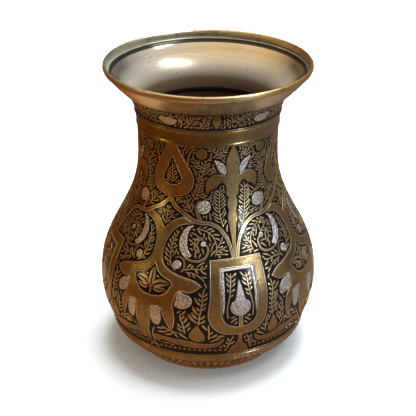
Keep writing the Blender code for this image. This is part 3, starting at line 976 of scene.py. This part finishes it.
def split_leaf(base, bend, tip, half):
    """A broad leaf as two halves with a dark midrib between them."""
    spine = smooth_path([base, bend, tip])
    share = np.linspace(0.0, 1.0, len(spine))
    width = half * 0.5 * (0.12 + 0.88 * np.sin(math.pi * share ** 0.8))
    return [(spine + sideways(spine) * (side * (0.004 + width * 1.02))[:, None], width * 0.94)
            for side in (1.0, -1.0)]


# ---------------------------------------------------------------- materials

class Nodes:
    """Short names for building the nodes of a material or a world."""

    def __init__(self, owner):
        owner.use_nodes = True
        self.owner = owner
        self.tree = owner.node_tree
        self.shader = self.tree.nodes.get("Principled BSDF")
        self.coordinates = self.add("ShaderNodeTexCoord").outputs
        self.place = self.coordinates["Object"]

    def add(self, kind, **inputs):
        node = self.tree.nodes.new(kind)
        for key, value in inputs.items():
            self.feed(node.inputs[key.replace("_", " ")], value)
        return node

    def feed(self, socket, value):
        if isinstance(value, bpy.types.NodeSocket):
            self.tree.links.new(value, socket)
        elif isinstance(value, tuple) and len(value) == 3 and socket.type == "RGBA":
            socket.default_value = (*value, 1.0)
        else:
            socket.default_value = value

    def set(self, **inputs):
        for key, value in inputs.items():
            self.feed(self.shader.inputs[key.replace("_", " ")], value)

    def node(self, kind, *values):
        """A node with its first inputs set in their order."""
        node = self.tree.nodes.new(kind)
        for socket, value in zip(node.inputs, values):
            self.feed(socket, value)
        return node

    def math(self, operation, *values):
        node = self.node("ShaderNodeMath", *values)
        node.operation = operation
        return node.outputs[0]

    def times(self, a, b):
        return self.math("MULTIPLY", a, b)

    def stretch(self, value, low, high, to_low=0.0, to_high=1.0):
        node = self.node("ShaderNodeMapRange", value, low, high, to_low, to_high)
        node.clamp = True
        return node.outputs[0]

    def mix(self, share, a, b):
        node = self.tree.nodes.new("ShaderNodeMix")
        node.data_type = "RGBA"
        for socket, value in ((0, share), (6, a), (7, b)):
            self.feed(node.inputs[socket], value)
        return node.outputs[2]


    def noise(self, per_metre, detail=4.0, rough=0.6):
        return self.add("ShaderNodeTexNoise", Vector=self.place, Scale=per_metre, Detail=detail,
                        Roughness=rough).outputs[0]

    def cells(self, per_metre):
        node = self.add("ShaderNodeTexVoronoi", Vector=self.place, Scale=per_metre)
        return node.outputs["Distance"]

    def hatching(self, per_metre):
        """Wavy close lines, like the marks of a scraper."""
        node = self.add("ShaderNodeTexWave", Vector=self.place, Scale=per_metre, Distortion=9.0,
                        Detail=3.0)
        node.bands_direction = "DIAGONAL"
        return node.outputs["Fac"]

    def attribute(self, name):
        node = self.tree.nodes.new("ShaderNodeAttribute")
        node.attribute_name = name
        return node.outputs["Fac"]

    def axes(self):
        return self.add("ShaderNodeSeparateXYZ", Vector=self.place).outputs

    def bump(self, height, strength, metres):
        node = self.add("ShaderNodeBump", Strength=strength, Distance=metres, Height=height)
        self.set(Normal=node.outputs[0])


def as_material(paint):
    """Makes a function that paints nodes into one that returns a named material."""
    def make(name, *details):
        n = Nodes(bpy.data.materials.new(name))
        paint(n, *details)
        return n.owner
    return make


PALE = (0.76, 0.62, 0.38)
# Rubbed brass that is also a painted highlight on edges and ridges
RUBBED_AND_SHEEN = (0.95, 0.83, 0.62)
GOLD = (0.50, 0.37, 0.17)
OLIVE = (0.31, 0.26, 0.14)
DULL_GOLD = (0.40, 0.28, 0.12)
DULL_OLIVE = (0.25, 0.20, 0.10)
# Colour of a painted warm reflection, mixed in towards the foot
PAINTED_WARM_REFLECTION = (0.52, 0.27, 0.11)
BROWN = (0.20, 0.12, 0.05)
SOOT = (0.007, 0.006, 0.006)
TIN = (0.55, 0.535, 0.49)
VERDIGRIS = (0.20, 0.24, 0.12)


def patina_and_reflection(n, light=GOLD, dark=OLIVE):
    """Brass colour: olive in clouds, brown in stains, with a painted coppery reflection towards
    the foot.
    """
    cloud = n.stretch(n.noise(48.0), 0.40, 0.62)
    colour = n.mix(cloud, light, dark)
    # Painted reflection: a patchy copper tint that grows towards the foot
    low = n.stretch(n.axes()[2], 0.085, 0.0, 0.0, 0.75)
    colour = n.mix(n.math("MULTIPLY", low, n.noise(25.0)), colour, PAINTED_WARM_REFLECTION)
    colour = n.mix(n.stretch(n.noise(110.0, 5.0, 0.7), 0.50, 0.70, 0.0, 0.55), colour, BROWN)
    return n.mix(n.stretch(n.noise(620.0, 3.0), 0.50, 0.70, 0.0, 0.55), colour, BROWN)


def hammered(n):
    """Height of a beaten and scratched surface: slow waves with fine scratches on them."""
    return n.math("ADD", n.noise(330.0, 3.0), n.times(n.noise(1100.0, 2.0), 0.15))


@as_material
def aged_brass(n):
    # Painted reflection: the brass turns a pale grey mauve towards the right side
    painted_right_sheen = n.stretch(n.axes()[0], 0.005, 0.035, 0.0, 0.45)
    colour = n.mix(painted_right_sheen, patina_and_reflection(n, DULL_GOLD, DULL_OLIVE), (0.62, 0.52, 0.42))
    rough = n.stretch(n.noise(160.0), 0.3, 0.7, 0.18, 0.34)
    n.set(Base_Color=colour, Metallic=1.0, Roughness=rough)
    n.bump(hammered(n), 0.6, 0.00012)


@as_material
def lip_metal(n):
    """Silvery on the left and golden on the right, rubbed bright and spotted."""
    colour = n.mix(n.stretch(n.axes()[0], -0.035, 0.035), (0.72, 0.72, 0.64), (0.80, 0.58, 0.26))
    colour = n.mix(n.stretch(n.noise(260.0, 3.0), 0.55, 0.72, 0.0, 0.6), colour, BROWN)
    n.set(Base_Color=colour, Metallic=1.0, Roughness=0.30)
    n.bump(n.noise(300.0, 3.0), 0.4, 0.00015)


@as_material
def flare_metal(n):
    """Brass of the neck, with a pale painted reflection where it widens to the lip, stronger on
    the left.
    """
    edge = n.math("MULTIPLY_ADD", n.noise(60.0, 3.0), 0.0016, n.axes()[2])
    share = n.stretch(n.axes()[0], -0.03, 0.03, 1.0, 0.45)
    # Painted reflection: a pale band just under the lip, stronger on the left
    painted_sheen = n.times(n.stretch(edge, 0.1390, 0.1420), share)
    n.set(Base_Color=n.mix(painted_sheen, patina_and_reflection(n), (0.92, 0.84, 0.76)), Metallic=1.0, Roughness=0.22)
    n.bump(n.noise(220.0, 3.0), 0.35, 0.00010)


@as_material
def engraved_brass(n):
    """Brass of the raised pattern: sooty sides, rubbed edges with a painted highlight, paler where
    the strokes are fine.
    """
    height = n.attribute("relief")
    soot = n.stretch(height, 0.82, 0.25)
    # Partly wear, partly painted highlight: the highest rings and ridges are painted pale
    rim = n.stretch(height, 0.92, 0.98)
    stroke = n.stretch(n.attribute("tone"), 0.45, 0.60)
    colour = n.mix(n.stretch(n.cells(1300.0), 0.05, 0.40, 0.4, 0.0), patina_and_reflection(n), BROWN)
    colour = n.mix(n.times(n.hatching(330.0), 0.35), colour, BROWN)
    colour = n.mix(n.times(stroke, 0.72), colour, PALE)
    colour = n.mix(n.times(rim, 0.8), colour, RUBBED_AND_SHEEN)
    n.set(Base_Color=n.mix(soot, colour, SOOT), Metallic=n.stretch(soot, 0.2, 0.9, 1.0, 0.0),
          Roughness=n.stretch(n.noise(160.0), 0.3, 0.7, 0.27, 0.40), Coat_Weight=0.3,
          Coat_Roughness=0.17)
    n.bump(n.math("ADD", hammered(n), n.times(n.cells(1300.0), 0.3)), 0.7, 0.00018)


@as_material
def lacquer(n, coat):
    grain = n.noise(700.0, 2.0)
    colour = n.mix(n.stretch(grain, 0.5, 0.75, 0.0, 0.6), SOOT, (0.022, 0.015, 0.010))
    n.set(Base_Color=colour, Roughness=0.30, Specular_IOR_Level=0.05, Coat_Weight=coat,
          Coat_Roughness=0.14)
    n.bump(grain, 0.6, 0.00015)


@as_material
def silver(n):
    """White metal punched all over, with dirt left in the dimples."""
    soot = n.stretch(n.attribute("relief"), 0.75, 0.15)
    dimple = n.stretch(n.cells(1350.0), 0.58, 0.30)
    colour = n.mix(n.stretch(n.noise(90.0), 0.35, 0.65), (0.93, 0.96, 1.0), (0.80, 0.80, 0.82))
    colour = n.mix(n.stretch(dimple, 0.40, 0.0, 0.0, 0.42), colour, (0.12, 0.10, 0.09))
    n.set(Base_Color=n.mix(soot, colour, SOOT), Metallic=n.stretch(soot, 0.2, 0.9, 1.0, 0.0),
          Roughness=0.36)
    n.bump(dimple, 0.8, 0.00014)


@as_material
def tinned(n):
    """Silvery tin smeared over turned brass: fine rings, gold where rubbed through, with painted
    reflection and shade.
    """
    x, y, z = n.axes()
    spot = n.add("ShaderNodeCombineXYZ", X=n.times(z, 3500.0), Y=n.times(x, 25.0),
                 Z=n.times(y, 25.0)).outputs[0]
    rings = n.add("ShaderNodeTexNoise", Vector=spot, Scale=1.0, Detail=2.0).outputs[0]
    # Painted reflection: the gold is kept to the upper right, and the noise adds real rubbing
    # through
    high = n.times(n.stretch(z, 0.128, 0.145), n.stretch(x, -0.03, 0.03, 0.2, 1.0))
    wear_and_reflection = n.times(n.stretch(n.noise(38.0), 0.40, 0.58, 0.1, 0.9), high)
    green = n.times(n.stretch(z, 0.1440, 0.1462), n.stretch(n.noise(150.0), 0.35, 0.6))
    colour = n.mix(wear_and_reflection, TIN, (0.62, 0.48, 0.22))
    # Painted shade: darker brown deeper in the throat
    colour = n.mix(n.stretch(z, 0.1440, 0.130), colour, (0.065, 0.045, 0.028))
    colour = n.mix(n.stretch(rings, 0.55, 0.75, 0.0, 0.25), colour, BROWN)
    colour = n.mix(n.times(green, 0.6), colour, VERDIGRIS)
    colour = n.mix(n.stretch(n.cells(240.0), 0.10, 0.06, 0.0, 0.8), colour, SOOT)
    deep = n.stretch(z, 0.1420, 0.1290)
    n.set(Base_Color=colour, Metallic=n.math("SUBTRACT", 0.97, n.times(deep, 0.9)),
          Roughness=n.stretch(deep, 0.0, 1.0, 0.09, 0.55),
          Specular_IOR_Level=n.stretch(deep, 0.0, 1.0, 0.5, 0.05))
    n.bump(rings, 0.2, 0.00005)


@as_material
def groove_dirt(n):
    """Dirt in the groove under the lip: verdigris on the left, black on the right."""
    right = n.stretch(n.axes()[0], -0.005, 0.02)
    n.set(Base_Color=n.mix(right, (0.08, 0.10, 0.08), (0.035, 0.026, 0.016)), Roughness=0.8)
    n.bump(n.noise(900.0), 0.6, 0.0002)


@as_material
def plain(n, colour, rough, metallic):
    dull = n.stretch(n.noise(120.0), 0.35, 0.65, 0.0, 0.5)
    shade = tuple(0.5 * v for v in colour)
    n.set(Base_Color=n.mix(dull, colour, shade), Metallic=metallic, Roughness=rough)
    n.bump(n.noise(400.0, 3.0), 0.4, 0.0001)


BRASS = aged_brass("aged_brass")
LIP_METAL = lip_metal("lip_metal")
FLARE = flare_metal("flare_brass")
ENGRAVED = engraved_brass("engraved_brass")
LACQUER = lacquer("black_lacquer", 0.5)
SILVER = silver("stippled_silver")
TINNED = tinned("tinned_inside")
DIRT = groove_dirt("groove_dirt")
DULL = plain("dull_brass", (0.30, 0.20, 0.09), 0.5, 1.0)
SOLDER = plain("grey_solder", (0.07, 0.065, 0.06), 0.7, 0.4)
# Black for the solder ring in the throat: painted shade, deep in the neck
SHADE_PAINTED_SOLDER = lacquer("solder_in_painted_shade", 0.0)


# ---------------------------------------------------------------- building the pattern

SECTOR_PLATES = [   # drawn once for a shield or a rosette: plate, tone
    (Plate(TEARDROP, PLATE_TOP, TEARDROP_HOLE, CONTOUR_EDGE), 0.3),
    (Plate(ROSETTE, 0.055, CARTOUCHE, CONTOUR_EDGE), 0.1),
    (Plate(FLEUR, 0.06), 0.2),
    (Plate(SHIELD, PLATE_TOP, SHIELD_WINDOW, CONTOUR_EDGE), 0.0),
    (Plate(SHIELD_FOOT, 0.065), 0.3),
]
HALF_PLATES = [(Plate(SWAG), 0.2), (Plate(LEAF_DROP), 0.1)]
INLAY_TOP = 0.02
INLAYS = {   # plate, its sides in a sector, start of its CAD nodes' names
    "shield_drops": (Plate(SHIELD_DROP, INLAY_TOP), (1,), "shield_drop_"),
    "shield_liners": (Plate(SHIELD_LINER, 0.03), (1,), None),
    "scroll_crescents": (Plate(SCROLL_CRESCENT, INLAY_TOP), (1, -1), "scroll_crescent_"),
    "rosette_petals": (Plate(ROSETTE_PETAL, INLAY_TOP), (1, -1), "rosette_petal_"),
    "lower_petals": (Plate(LOWER_PETAL, INLAY_TOP), (1, -1), "lower_petal_"),
    "fleur_petals": (Plate(FLEUR_PETAL, INLAY_TOP), (1, -1), "fleur_petal_"),
    "middle_buds": (Plate(bud(0.348, 2.13, 0.082), INLAY_TOP), (1, -1), "bud_"),
    "upper_buds": (Plate(bud(0.395, 2.875, 0.070), INLAY_TOP), (1, -1), None),
    "scroll_buds": (Plate(bud(0.565, 1.465, 0.040), INLAY_TOP), (1, -1), None),
    "spiral_buds": (Plate(bud(0.325, 1.695, 0.027), INLAY_TOP), (1, -1), None),
}
INLAY_TONE = 0.3


def belly_field():
    """Room left by everything but the ferns, in one half-sector."""
    field = Field(HALF, FIELD_LOW, FIELD_HIGH)
    plates = [plate for plate, *_ in SECTOR_PLATES + HALF_PLATES + list(INLAYS.values())]
    for plate in plates:
        field.block_plate(plate.outer, plate.holes)
    for ribbon in RIBBONS:
        field.limit(field.line_room(*ribbon_path(*ribbon)) - PLATE_HALO / 2.0)
    for leaf in SPRIG:
        for half in split_leaf(*leaf):
            field.limit(field.line_room(*half))
    for points in (SHIELD_STALK, SPRIG_STEM, [(0.1, BEAD_CLIMB), (0.71, BEAD_CLIMB)]):
        path = smooth_path(points)
        field.limit(field.line_room(path, np.full(len(path), 0.02)))
    return field


def ferns(base, stems, rng):
    """Every leaflet of one stretch of the pattern, as (path, half-widths)."""
    field = base.spare()
    lines = [stem_path(s) for s in stems]
    rooms = [field.line_room(*line) for line in lines]
    found = []
    for k, (path, _) in enumerate(lines):
        others = np.min(rooms[:k] + rooms[k + 1:], axis=0)
        found += grow_fern(field, path, others, rng)
    field.limit(np.min(rooms, axis=0))
    return found + fill_gaps(field, found)


def lay_lines(relief, lines, place, rng):
    for line in lines:
        sweep(relief, line, place, 0.6 + 0.4 * rng.random(), 0.02 + 0.03 * rng.random())


def lay_stems(relief, stems, place, rng):
    lay_lines(relief, [stem_path(s) for s in stems], place, rng)


def lay_bead(relief, spot, half_length, half_width, place, tone, top):
    path = np.array([spot + (d * half_length, 0.0) for d in (-1.0, -0.5, 0.0, 0.5, 1.0)])
    width = half_width * np.array([0.3, 0.85, 1.0, 0.85, 0.3])
    sweep(relief, (path, width), place, tone, top)


def belly_relief(sector, base, stems):
    relief = Relief()
    rng = random.Random(100 + sector)
    middle = belly_place(sector)
    for plate, tone in SECTOR_PLATES:
        plate.lay(relief, middle, tone)
    stalk = ribbon_path(SHIELD_STALK, (0.018, 0.018, 0.022))
    sweep(relief, stalk, middle, 0.1, 0.075, RIBBON)
    lay_stems(relief, CENTRE_STEMS + [SPRIG_STEM], middle, rng)
    for side in (1, -1):
        place = belly_place(sector, side)
        for plate, tone in HALF_PLATES:
            plate.lay(relief, place, tone)
        for k, ribbon in enumerate(RIBBONS):
            sweep(relief, ribbon_path(*ribbon), place, 0.2, 0.07 + 0.01 * k, RIBBON)
        lay_stems(relief, stems, place, rng)
        for leaf in SPRIG[1:] if side == -1 else SPRIG:      # the first leaf is on the axis
            lay_lines(relief, split_leaf(*leaf), place, rng)
        lay_lines(relief, ferns(base, stems + CENTRE_STEMS, rng), place, rng)
        for k in range(BEADS):
            spot = np.array([BEAD_START + BEAD_PITCH * k, BEAD_CLIMB + 0.006 * math.sin(0.23 * k)])
            lay_bead(relief, spot, 0.014, 0.016, place, 0.1, 0.04)
    return relief


def make_inlays():
    for name, (plate, sides, start) in INLAYS.items():
        relief = Relief()
        for sector in range(SECTORS):
            for side in sides:
                plate.lay(relief, belly_place(sector, side), INLAY_TONE)
        if name == "upper_buds":
            relief.make(name, ENGRAVED, "engraved_brass")
        else:
            make_white(relief, name, start)
    relief = Relief()
    plate = Plate(NECK_LEAF, INLAY_TOP)
    for k in range(NECK_LEAVES):
        plate.lay(relief, neck_place(k), INLAY_TONE)
    make_white(relief, "neck_leaves", "neck_leaf_")


def make_white(relief, name, start):
    obj = relief.make(name, SILVER, "white_metal")
    if start:
        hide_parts(*[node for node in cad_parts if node.startswith(start)])


def neck_relief():
    relief = Relief()
    rng = random.Random(7)
    base = Field(2.0 * NECK_HALF, NECK_LOW, NECK_HIGH)
    leaf = smooth_loop(NECK_LEAF)
    for shift in (0.0, 2.0 * NECK_HALF):
        base.block_plate(leaf + (shift, 0.0))
    drop = Plate([(NECK_HALF + a, c) for a, c in NECK_DROP])
    base.block_plate(drop.outer)
    strokes = []
    for k in range(int(2.0 * NECK_HALF / NECK_STROKE_PITCH)):
        root = np.array([0.02 + NECK_STROKE_PITCH * k, NECK_LOW + 0.004])
        path = leaflet(root, np.array([0.5, 0.866]), 0.045, 0.1)
        width = 0.013 * LEAFLET_SHAPE[::-1]
        if np.all(base.room_at(path[1:]) > 0.004):
            strokes.append((path, width))
            base.block_line(path, width)
    stems = NECK_STEMS + branch_out(base, NECK_STEMS, rng)
    for k in range(NECK_LEAVES):
        place = neck_place(k)
        drop.lay(relief, place, 0.2)
        lay_lines(relief, strokes, place, rng)
        lay_stems(relief, stems, place, rng)
        lay_lines(relief, ferns(base, stems, rng), place, rng)
    return relief


def foot_relief():
    """Two rows of slanted strokes like a plait, with a row of beads above them."""
    relief = Relief()
    rng = random.Random(11)
    as_drawn = Place()
    low, high = climb_at(FOOT_BAND_Z[0]), climb_at(FOOT_BAND_Z[1])
    row = (high - low) / 2.6
    pitch = math.tau / FOOT_STROKES
    shape = 0.024 * np.array([0.5, 0.95, 1.0, 0.9, 0.4])
    for k in range(FOOT_STROKES):
        for level, lean in ((low + 0.015, 0.45), (low + 0.01 + row, -0.45)):
            start = np.array([k * pitch - lean * row / 2.0, level])
            path = leaflet(start, np.array([lean, 0.89]), row * 0.98, 0.0)
            width = shape * rng.uniform(0.9, 1.05)
            sweep(relief, (path, width), as_drawn, rng.random(), 0.05)
        spot = np.array([k * pitch, high - 0.035])
        lay_bead(relief, spot, 0.02, 0.019, as_drawn, rng.random(), 0.05)
    return relief


# ---------------------------------------------------------------- turned shells

def recessed(low, high, steps):
    """The lacquered ground between two heights, with its brass walls."""
    section = [skin(low - 0.12, 0.05), skin(low, 0.18), skin(low + 0.06, GROUND)]
    section += wall(rise(low + 0.6, high - 0.6, steps), GROUND)
    return section + [skin(high - 0.06, GROUND), skin(high, 0.18), skin(high + 0.12, 0.05)]


def ground_or_brass(r, z):
    """Material of a shell's face: lacquer (1) on the outer ground, tin (2) inside, else brass."""
    slope = float(np.interp(z, CURVE_Z, SLOPE))
    depth = (float(np.interp(z, CURVE_Z, CURVE_R)) - r) / math.hypot(1.0, slope)
    if depth > 0.80:
        return 2
    return 1 if depth > 0.30 else 0


def mouth_faces(r, z):
    """As above, and dirt (3) in the groove under the lip."""
    return 3 if z > FLANGE_Z - 0.05 and r > 46.7 else ground_or_brass(r, z)


def make_body():
    low, high = height_at(FIELD_LOW - 0.012), height_at(FIELD_HIGH + 0.006)
    bottom, top = FOOT_SEAM_Z + 0.15, COLLAR_LOW_Z - 0.1
    section = [skin(bottom, 0.5), skin(bottom + 0.05, 0.12), skin(bottom + 0.35, 0.02)]
    section += recessed(low, high, 60) + [skin(top - 0.2, 0.05), skin(top, 0.2)]
    section += [skin(top, 1.2), skin(NECK_SEAM_Z, 1.2), skin(NECK_SEAM_Z, 2.6)]
    section += wall(reversed(rise(FOOT_SEAM_Z + 0.4, 119.0, 40)), WALL)
    section += [skin(bottom, 1.2)]
    body = lathe("pot_body", section, [BRASS, LACQUER, TINNED],
                 ground_or_brass)
    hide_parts("body_shell", "lower_bowl")


def make_foot():
    seam = FOOT_SEAM_Z - 0.15
    section = [skin(0.0, 0.25), skin(0.3, 0.0), skin(1.4, -0.1), skin(2.6, -0.1)]
    section += recessed(*FOOT_BAND_Z, 12)
    section += [skin(12.6, 0.05), skin(12.8, -0.25), skin(13.2, -0.45)]
    for groove in (13.9, 15.2):
        section += [skin(groove, -0.45), skin(groove + 0.15, -0.15), skin(groove + 0.3, -0.43)]
    section += [skin(15.9, -0.38), skin(16.3, -0.2), skin(seam, 0.15), skin(seam, 1.2)]
    section += wall([13.0, 10.0, 7.0, 4.6], WALL)
    section += [(FOOT_LAND_R + 0.4, 2.3), (FOOT_LAND_R, 2.0), (FOOT_LAND_R, 0.3),
                (FOOT_LAND_R + 0.3, 0.0)]
    foot = lathe("foot", section, [BRASS, LACQUER, DULL], ground_or_brass)
    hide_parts("foot_ring")
    rim = FOOT_LAND_R + 0.5
    plate = [(0.0, 3.1), (20.0, 2.95), (rim, 2.6), (rim, 4.0), (20.0, 4.3), (0.0, 4.5)]
    base = lathe("base_plate", plate, [DULL], dented=0.0)
    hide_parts("base_plate")


def make_collar():
    low, high = COLLAR_LOW_Z, COLLAR_HIGH_Z
    bead = ((0.0, 0.3), (0.1, -0.15), (0.45, -0.34), (0.9, -0.3), (1.25, -0.02))
    section = [skin(low + up, depth) for up, depth in bead]
    section += wall(rise(low + 1.6, high - 1.6, 8), -0.04)
    section += [skin(high - down, depth) for down, depth in reversed(bead)]
    section += [skin(high, 1.1), skin(low, 1.1)]
    collar = lathe("neck_collar", section, [BRASS])
    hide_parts("neck_collar")


def make_mouth():
    band_high = NECK_BAND_Z[1]
    section = [skin(NECK_SEAM_Z + 0.1, 1.25), skin(COLLAR_HIGH_Z, 1.25),
               skin(COLLAR_HIGH_Z + 0.1, 0.1)]
    section += recessed(*NECK_BAND_Z, 14)
    section += [skin(band_high + 0.5, -0.12), skin(139.6, -0.16), skin(140.1, -0.02)]
    section += wall(rise(140.5, FLANGE_Z, 16))
    section += [(46.9, FLANGE_Z), (46.5, FLANGE_Z - 0.25)]
    for z in reversed(rise(NECK_SEAM_Z + 0.1, 145.2, 32)):
        thin, thick = ease(136.0, 145.5, z), ease(138.0, 127.0, z)
        section.append(skin(z, WALL - 0.85 * thin + thick))
    mouth = lathe("mouth", section, [FLARE, LACQUER, TINNED, DIRT], mouth_faces)
    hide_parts("mouth_funnel")


def make_lip():
    low = FLANGE_Z
    points = [(LIP_BORE_R, low), (48.4, low), (49.2, low + 0.7), (LIP_R, low + 1.9),
              (49.5, 149.4), (49.1, POT_HEIGHT), (48.35, POT_HEIGHT), (47.95, 149.5)]
    lip = lathe("lip", rounded_section(points, 0.45), [LIP_METAL], dented=0.4)
    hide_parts("lip_ring")


def make_solder():
    """Fillets inside the joints; the one in the throat is painted black as painted shade."""
    rings = {}
    for name, z, depth in (("neck_solder_ring", NECK_SEAM_Z, 2.15),
                           ("belly_solder_ring", 29.05, WALL - 0.1),
                           ("foot_solder_ring", 14.05, WALL - 0.1)):
        rings[name] = [skin(z - 1.5, depth), skin(z + 1.5, depth), skin(z + 0.8, depth + 0.9),
                       skin(z - 0.8, depth + 0.9)]
    inner = FOOT_LAND_R - 1.0
    rings["base_solder_ring"] = [(inner, 3.9), (inner + 3.2, 3.9), (inner + 4.2, 5.6),
                                 (inner + 2.6, 5.0)]
    for name, section in rings.items():
        # The throat's ring is painted black as painted shade
        metal = SHADE_PAINTED_SOLDER if name == "neck_solder_ring" else SOLDER
        ring = lathe(name, rounded_section(section, 0.4), [metal], segments=96)
        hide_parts(name)


# ---------------------------------------------------------------- light and view

WHITE = (1.0, 1.0, 1.0)
LIGHTS = {   # place and size in metres, watts, colour
    "window": ((0.575, -0.52, 0.25), (0.10, 0.17), 1.3, (0.86, 0.94, 1.0)),
    "lamp": ((-0.75, -0.27, 0.13), (0.08, 0.10), 0.22, (1.0, 0.80, 0.30)),
    "high_window": ((0.40, -0.18, 0.77), (0.50, 0.21), 3.4, WHITE),
    "overhead": ((0.07, 0.13, 0.92), (0.48, 0.42), 25.0, WHITE),
}
AIM = (0.0, 0.0, 0.07)
SHEET = 3.0              # half the floor's width
CAMERA_LENS = 86.54      # mm, for a sensor 36 mm wide
CAMERA_PLACE = (0.0, -0.4493, 0.3015)
CAMERA_TILT = 62.96      # degrees up from straight down


def add_lights():
    for name, (spot, size, watts, colour) in LIGHTS.items():
        light = bpy.data.lights.new(name, "AREA")
        light.shape = "RECTANGLE"
        light.size, light.size_y = size
        light.energy = watts
        light.color = colour
        obj = placed(name, light)
        obj.location = spot
        obj.rotation_euler = (Vector(AIM) - Vector(spot)).to_track_quat("-Z", "Y").to_euler()
        obj.visible_camera = False
        obj.visible_glossy = name != "overhead"      # the world's ceiling reflects instead


def add_sheet(name, z, material):
    mesh = bpy.data.meshes.new(name)
    corners = [(x * SHEET, y * SHEET, z) for x, y in ((-1, -1), (1, -1), (1, 1), (-1, 1))]
    mesh.from_pydata(corners, [], [(0, 1, 2, 3)])
    mesh.materials.append(material)
    obj = placed(name, mesh)
    return obj


def distance_from(n, at_x, at_y):
    """Distance on the floor from a place, in metres."""
    x, y, _ = n.axes()
    dx, dy = n.math("SUBTRACT", x, at_x), n.math("SUBTRACT", y, at_y)
    return n.math("SQRT", n.math("ADD", n.times(dx, dx), n.times(dy, dy)))


@as_material
def table_glow(n):
    """Only shows in reflections: a glowing card painted as a brown table, paler near the pot,
    darker close round it as painted shadow, with a painted patch of glare.
    """
    side = n.stretch(n.axes()[0], -0.10, 0.12)
    far = n.mix(side, (0.24, 0.075, 0.014), (0.23, 0.18, 0.14))
    near = n.mix(side, (0.56, 0.31, 0.13), (0.42, 0.35, 0.30))
    under = n.mix(side, (0.42, 0.18, 0.07), (0.15, 0.10, 0.075))
    reach = distance_from(n, 0.0, 0.0)
    colour = n.mix(n.stretch(reach, 0.19, 0.115, 0.0, 0.9), far, near)
    # Painted shadow: darker close round the pot
    colour = n.mix(n.stretch(reach, 0.085, 0.050), colour, under)
    # Painted reflection of the window: a white patch
    colour = n.mix(n.stretch(distance_from(n, 0.25, -0.26), 0.12, 0.05), colour, WHITE)
    emission = n.add("ShaderNodeEmission", Color=colour, Strength=1.0)
    n.feed(n.tree.nodes["Material Output"].inputs["Surface"], emission.outputs[0])


@as_material
def pale_floor(n):
    """White and lit by itself far away, so that only the pot's shadow shows near it."""
    glow = n.stretch(distance_from(n, 0.0, 0.0), 0.14, 0.60, 0.11, 1.0)
    n.set(Base_Color=(0.46, 0.51, 0.56), Roughness=0.9, Emission_Color=WHITE,
          Emission_Strength=glow)


def make_world():
    """White to the camera; to the pot, a dim room, warm on the left, with a pale ceiling."""
    world = bpy.data.worlds.new("studio")
    n = Nodes(world)
    x, _, z = n.add("ShaderNodeSeparateXYZ", Vector=n.coordinates["Generated"]).outputs
    walls = n.mix(n.stretch(x, -0.8, 0.4), (0.15, 0.058, 0.018), (0.18, 0.160, 0.15))
    ceiling = n.mix(n.stretch(x, -0.2, 0.5), (1.20, 0.92, 0.56), (1.10, 1.02, 0.88))
    room = n.mix(n.stretch(z, 0.42, 0.82), walls, ceiling)
    seen = n.add("ShaderNodeLightPath").outputs["Is Camera Ray"]
    dim, white = (n.add("ShaderNodeBackground", Color=c).outputs[0] for c in (room, WHITE))
    mix = n.node("ShaderNodeMixShader", seen, dim, white)
    n.feed(n.tree.nodes["World Output"].inputs[0], mix.outputs[0])
    bpy.context.scene.world = world


def make_floor():
    floor = add_sheet("floor", 0.0, pale_floor("pale_floor"))
    floor.visible_glossy = False
    floor.visible_diffuse = False
    card = add_sheet("table_glow", -0.001, table_glow("table_glow"))
    card.visible_diffuse = False
    card.visible_camera = False
    card.visible_shadow = False


def make_camera():
    camera = bpy.data.cameras.new("view")
    camera.sensor_width = 36.0
    camera.lens = CAMERA_LENS
    obj = placed("view", camera)
    obj.location = CAMERA_PLACE
    obj.rotation_euler = (math.radians(CAMERA_TILT), 0.0, 0.0)
    bpy.context.scene.camera = obj


def main():
    make_body()
    make_foot()
    make_collar()
    make_mouth()
    make_lip()
    make_solder()
    make_inlays()
    base = belly_field()
    stems = STEMS + branch_out(base, STEMS + CENTRE_STEMS, random.Random(3))
    for sector in range(SECTORS):
        relief = belly_relief(sector, base, stems)
        relief.make(f"belly_relief_{sector + 1}", ENGRAVED, "engraved_brass")
    neck_relief().make("neck_relief", ENGRAVED, "engraved_brass")
    foot_relief().make("foot_relief", ENGRAVED, "engraved_brass")
    make_world()
    make_floor()
    make_camera()
    add_lights()
    bpy.context.scene.view_settings.view_transform = "Standard"


main()
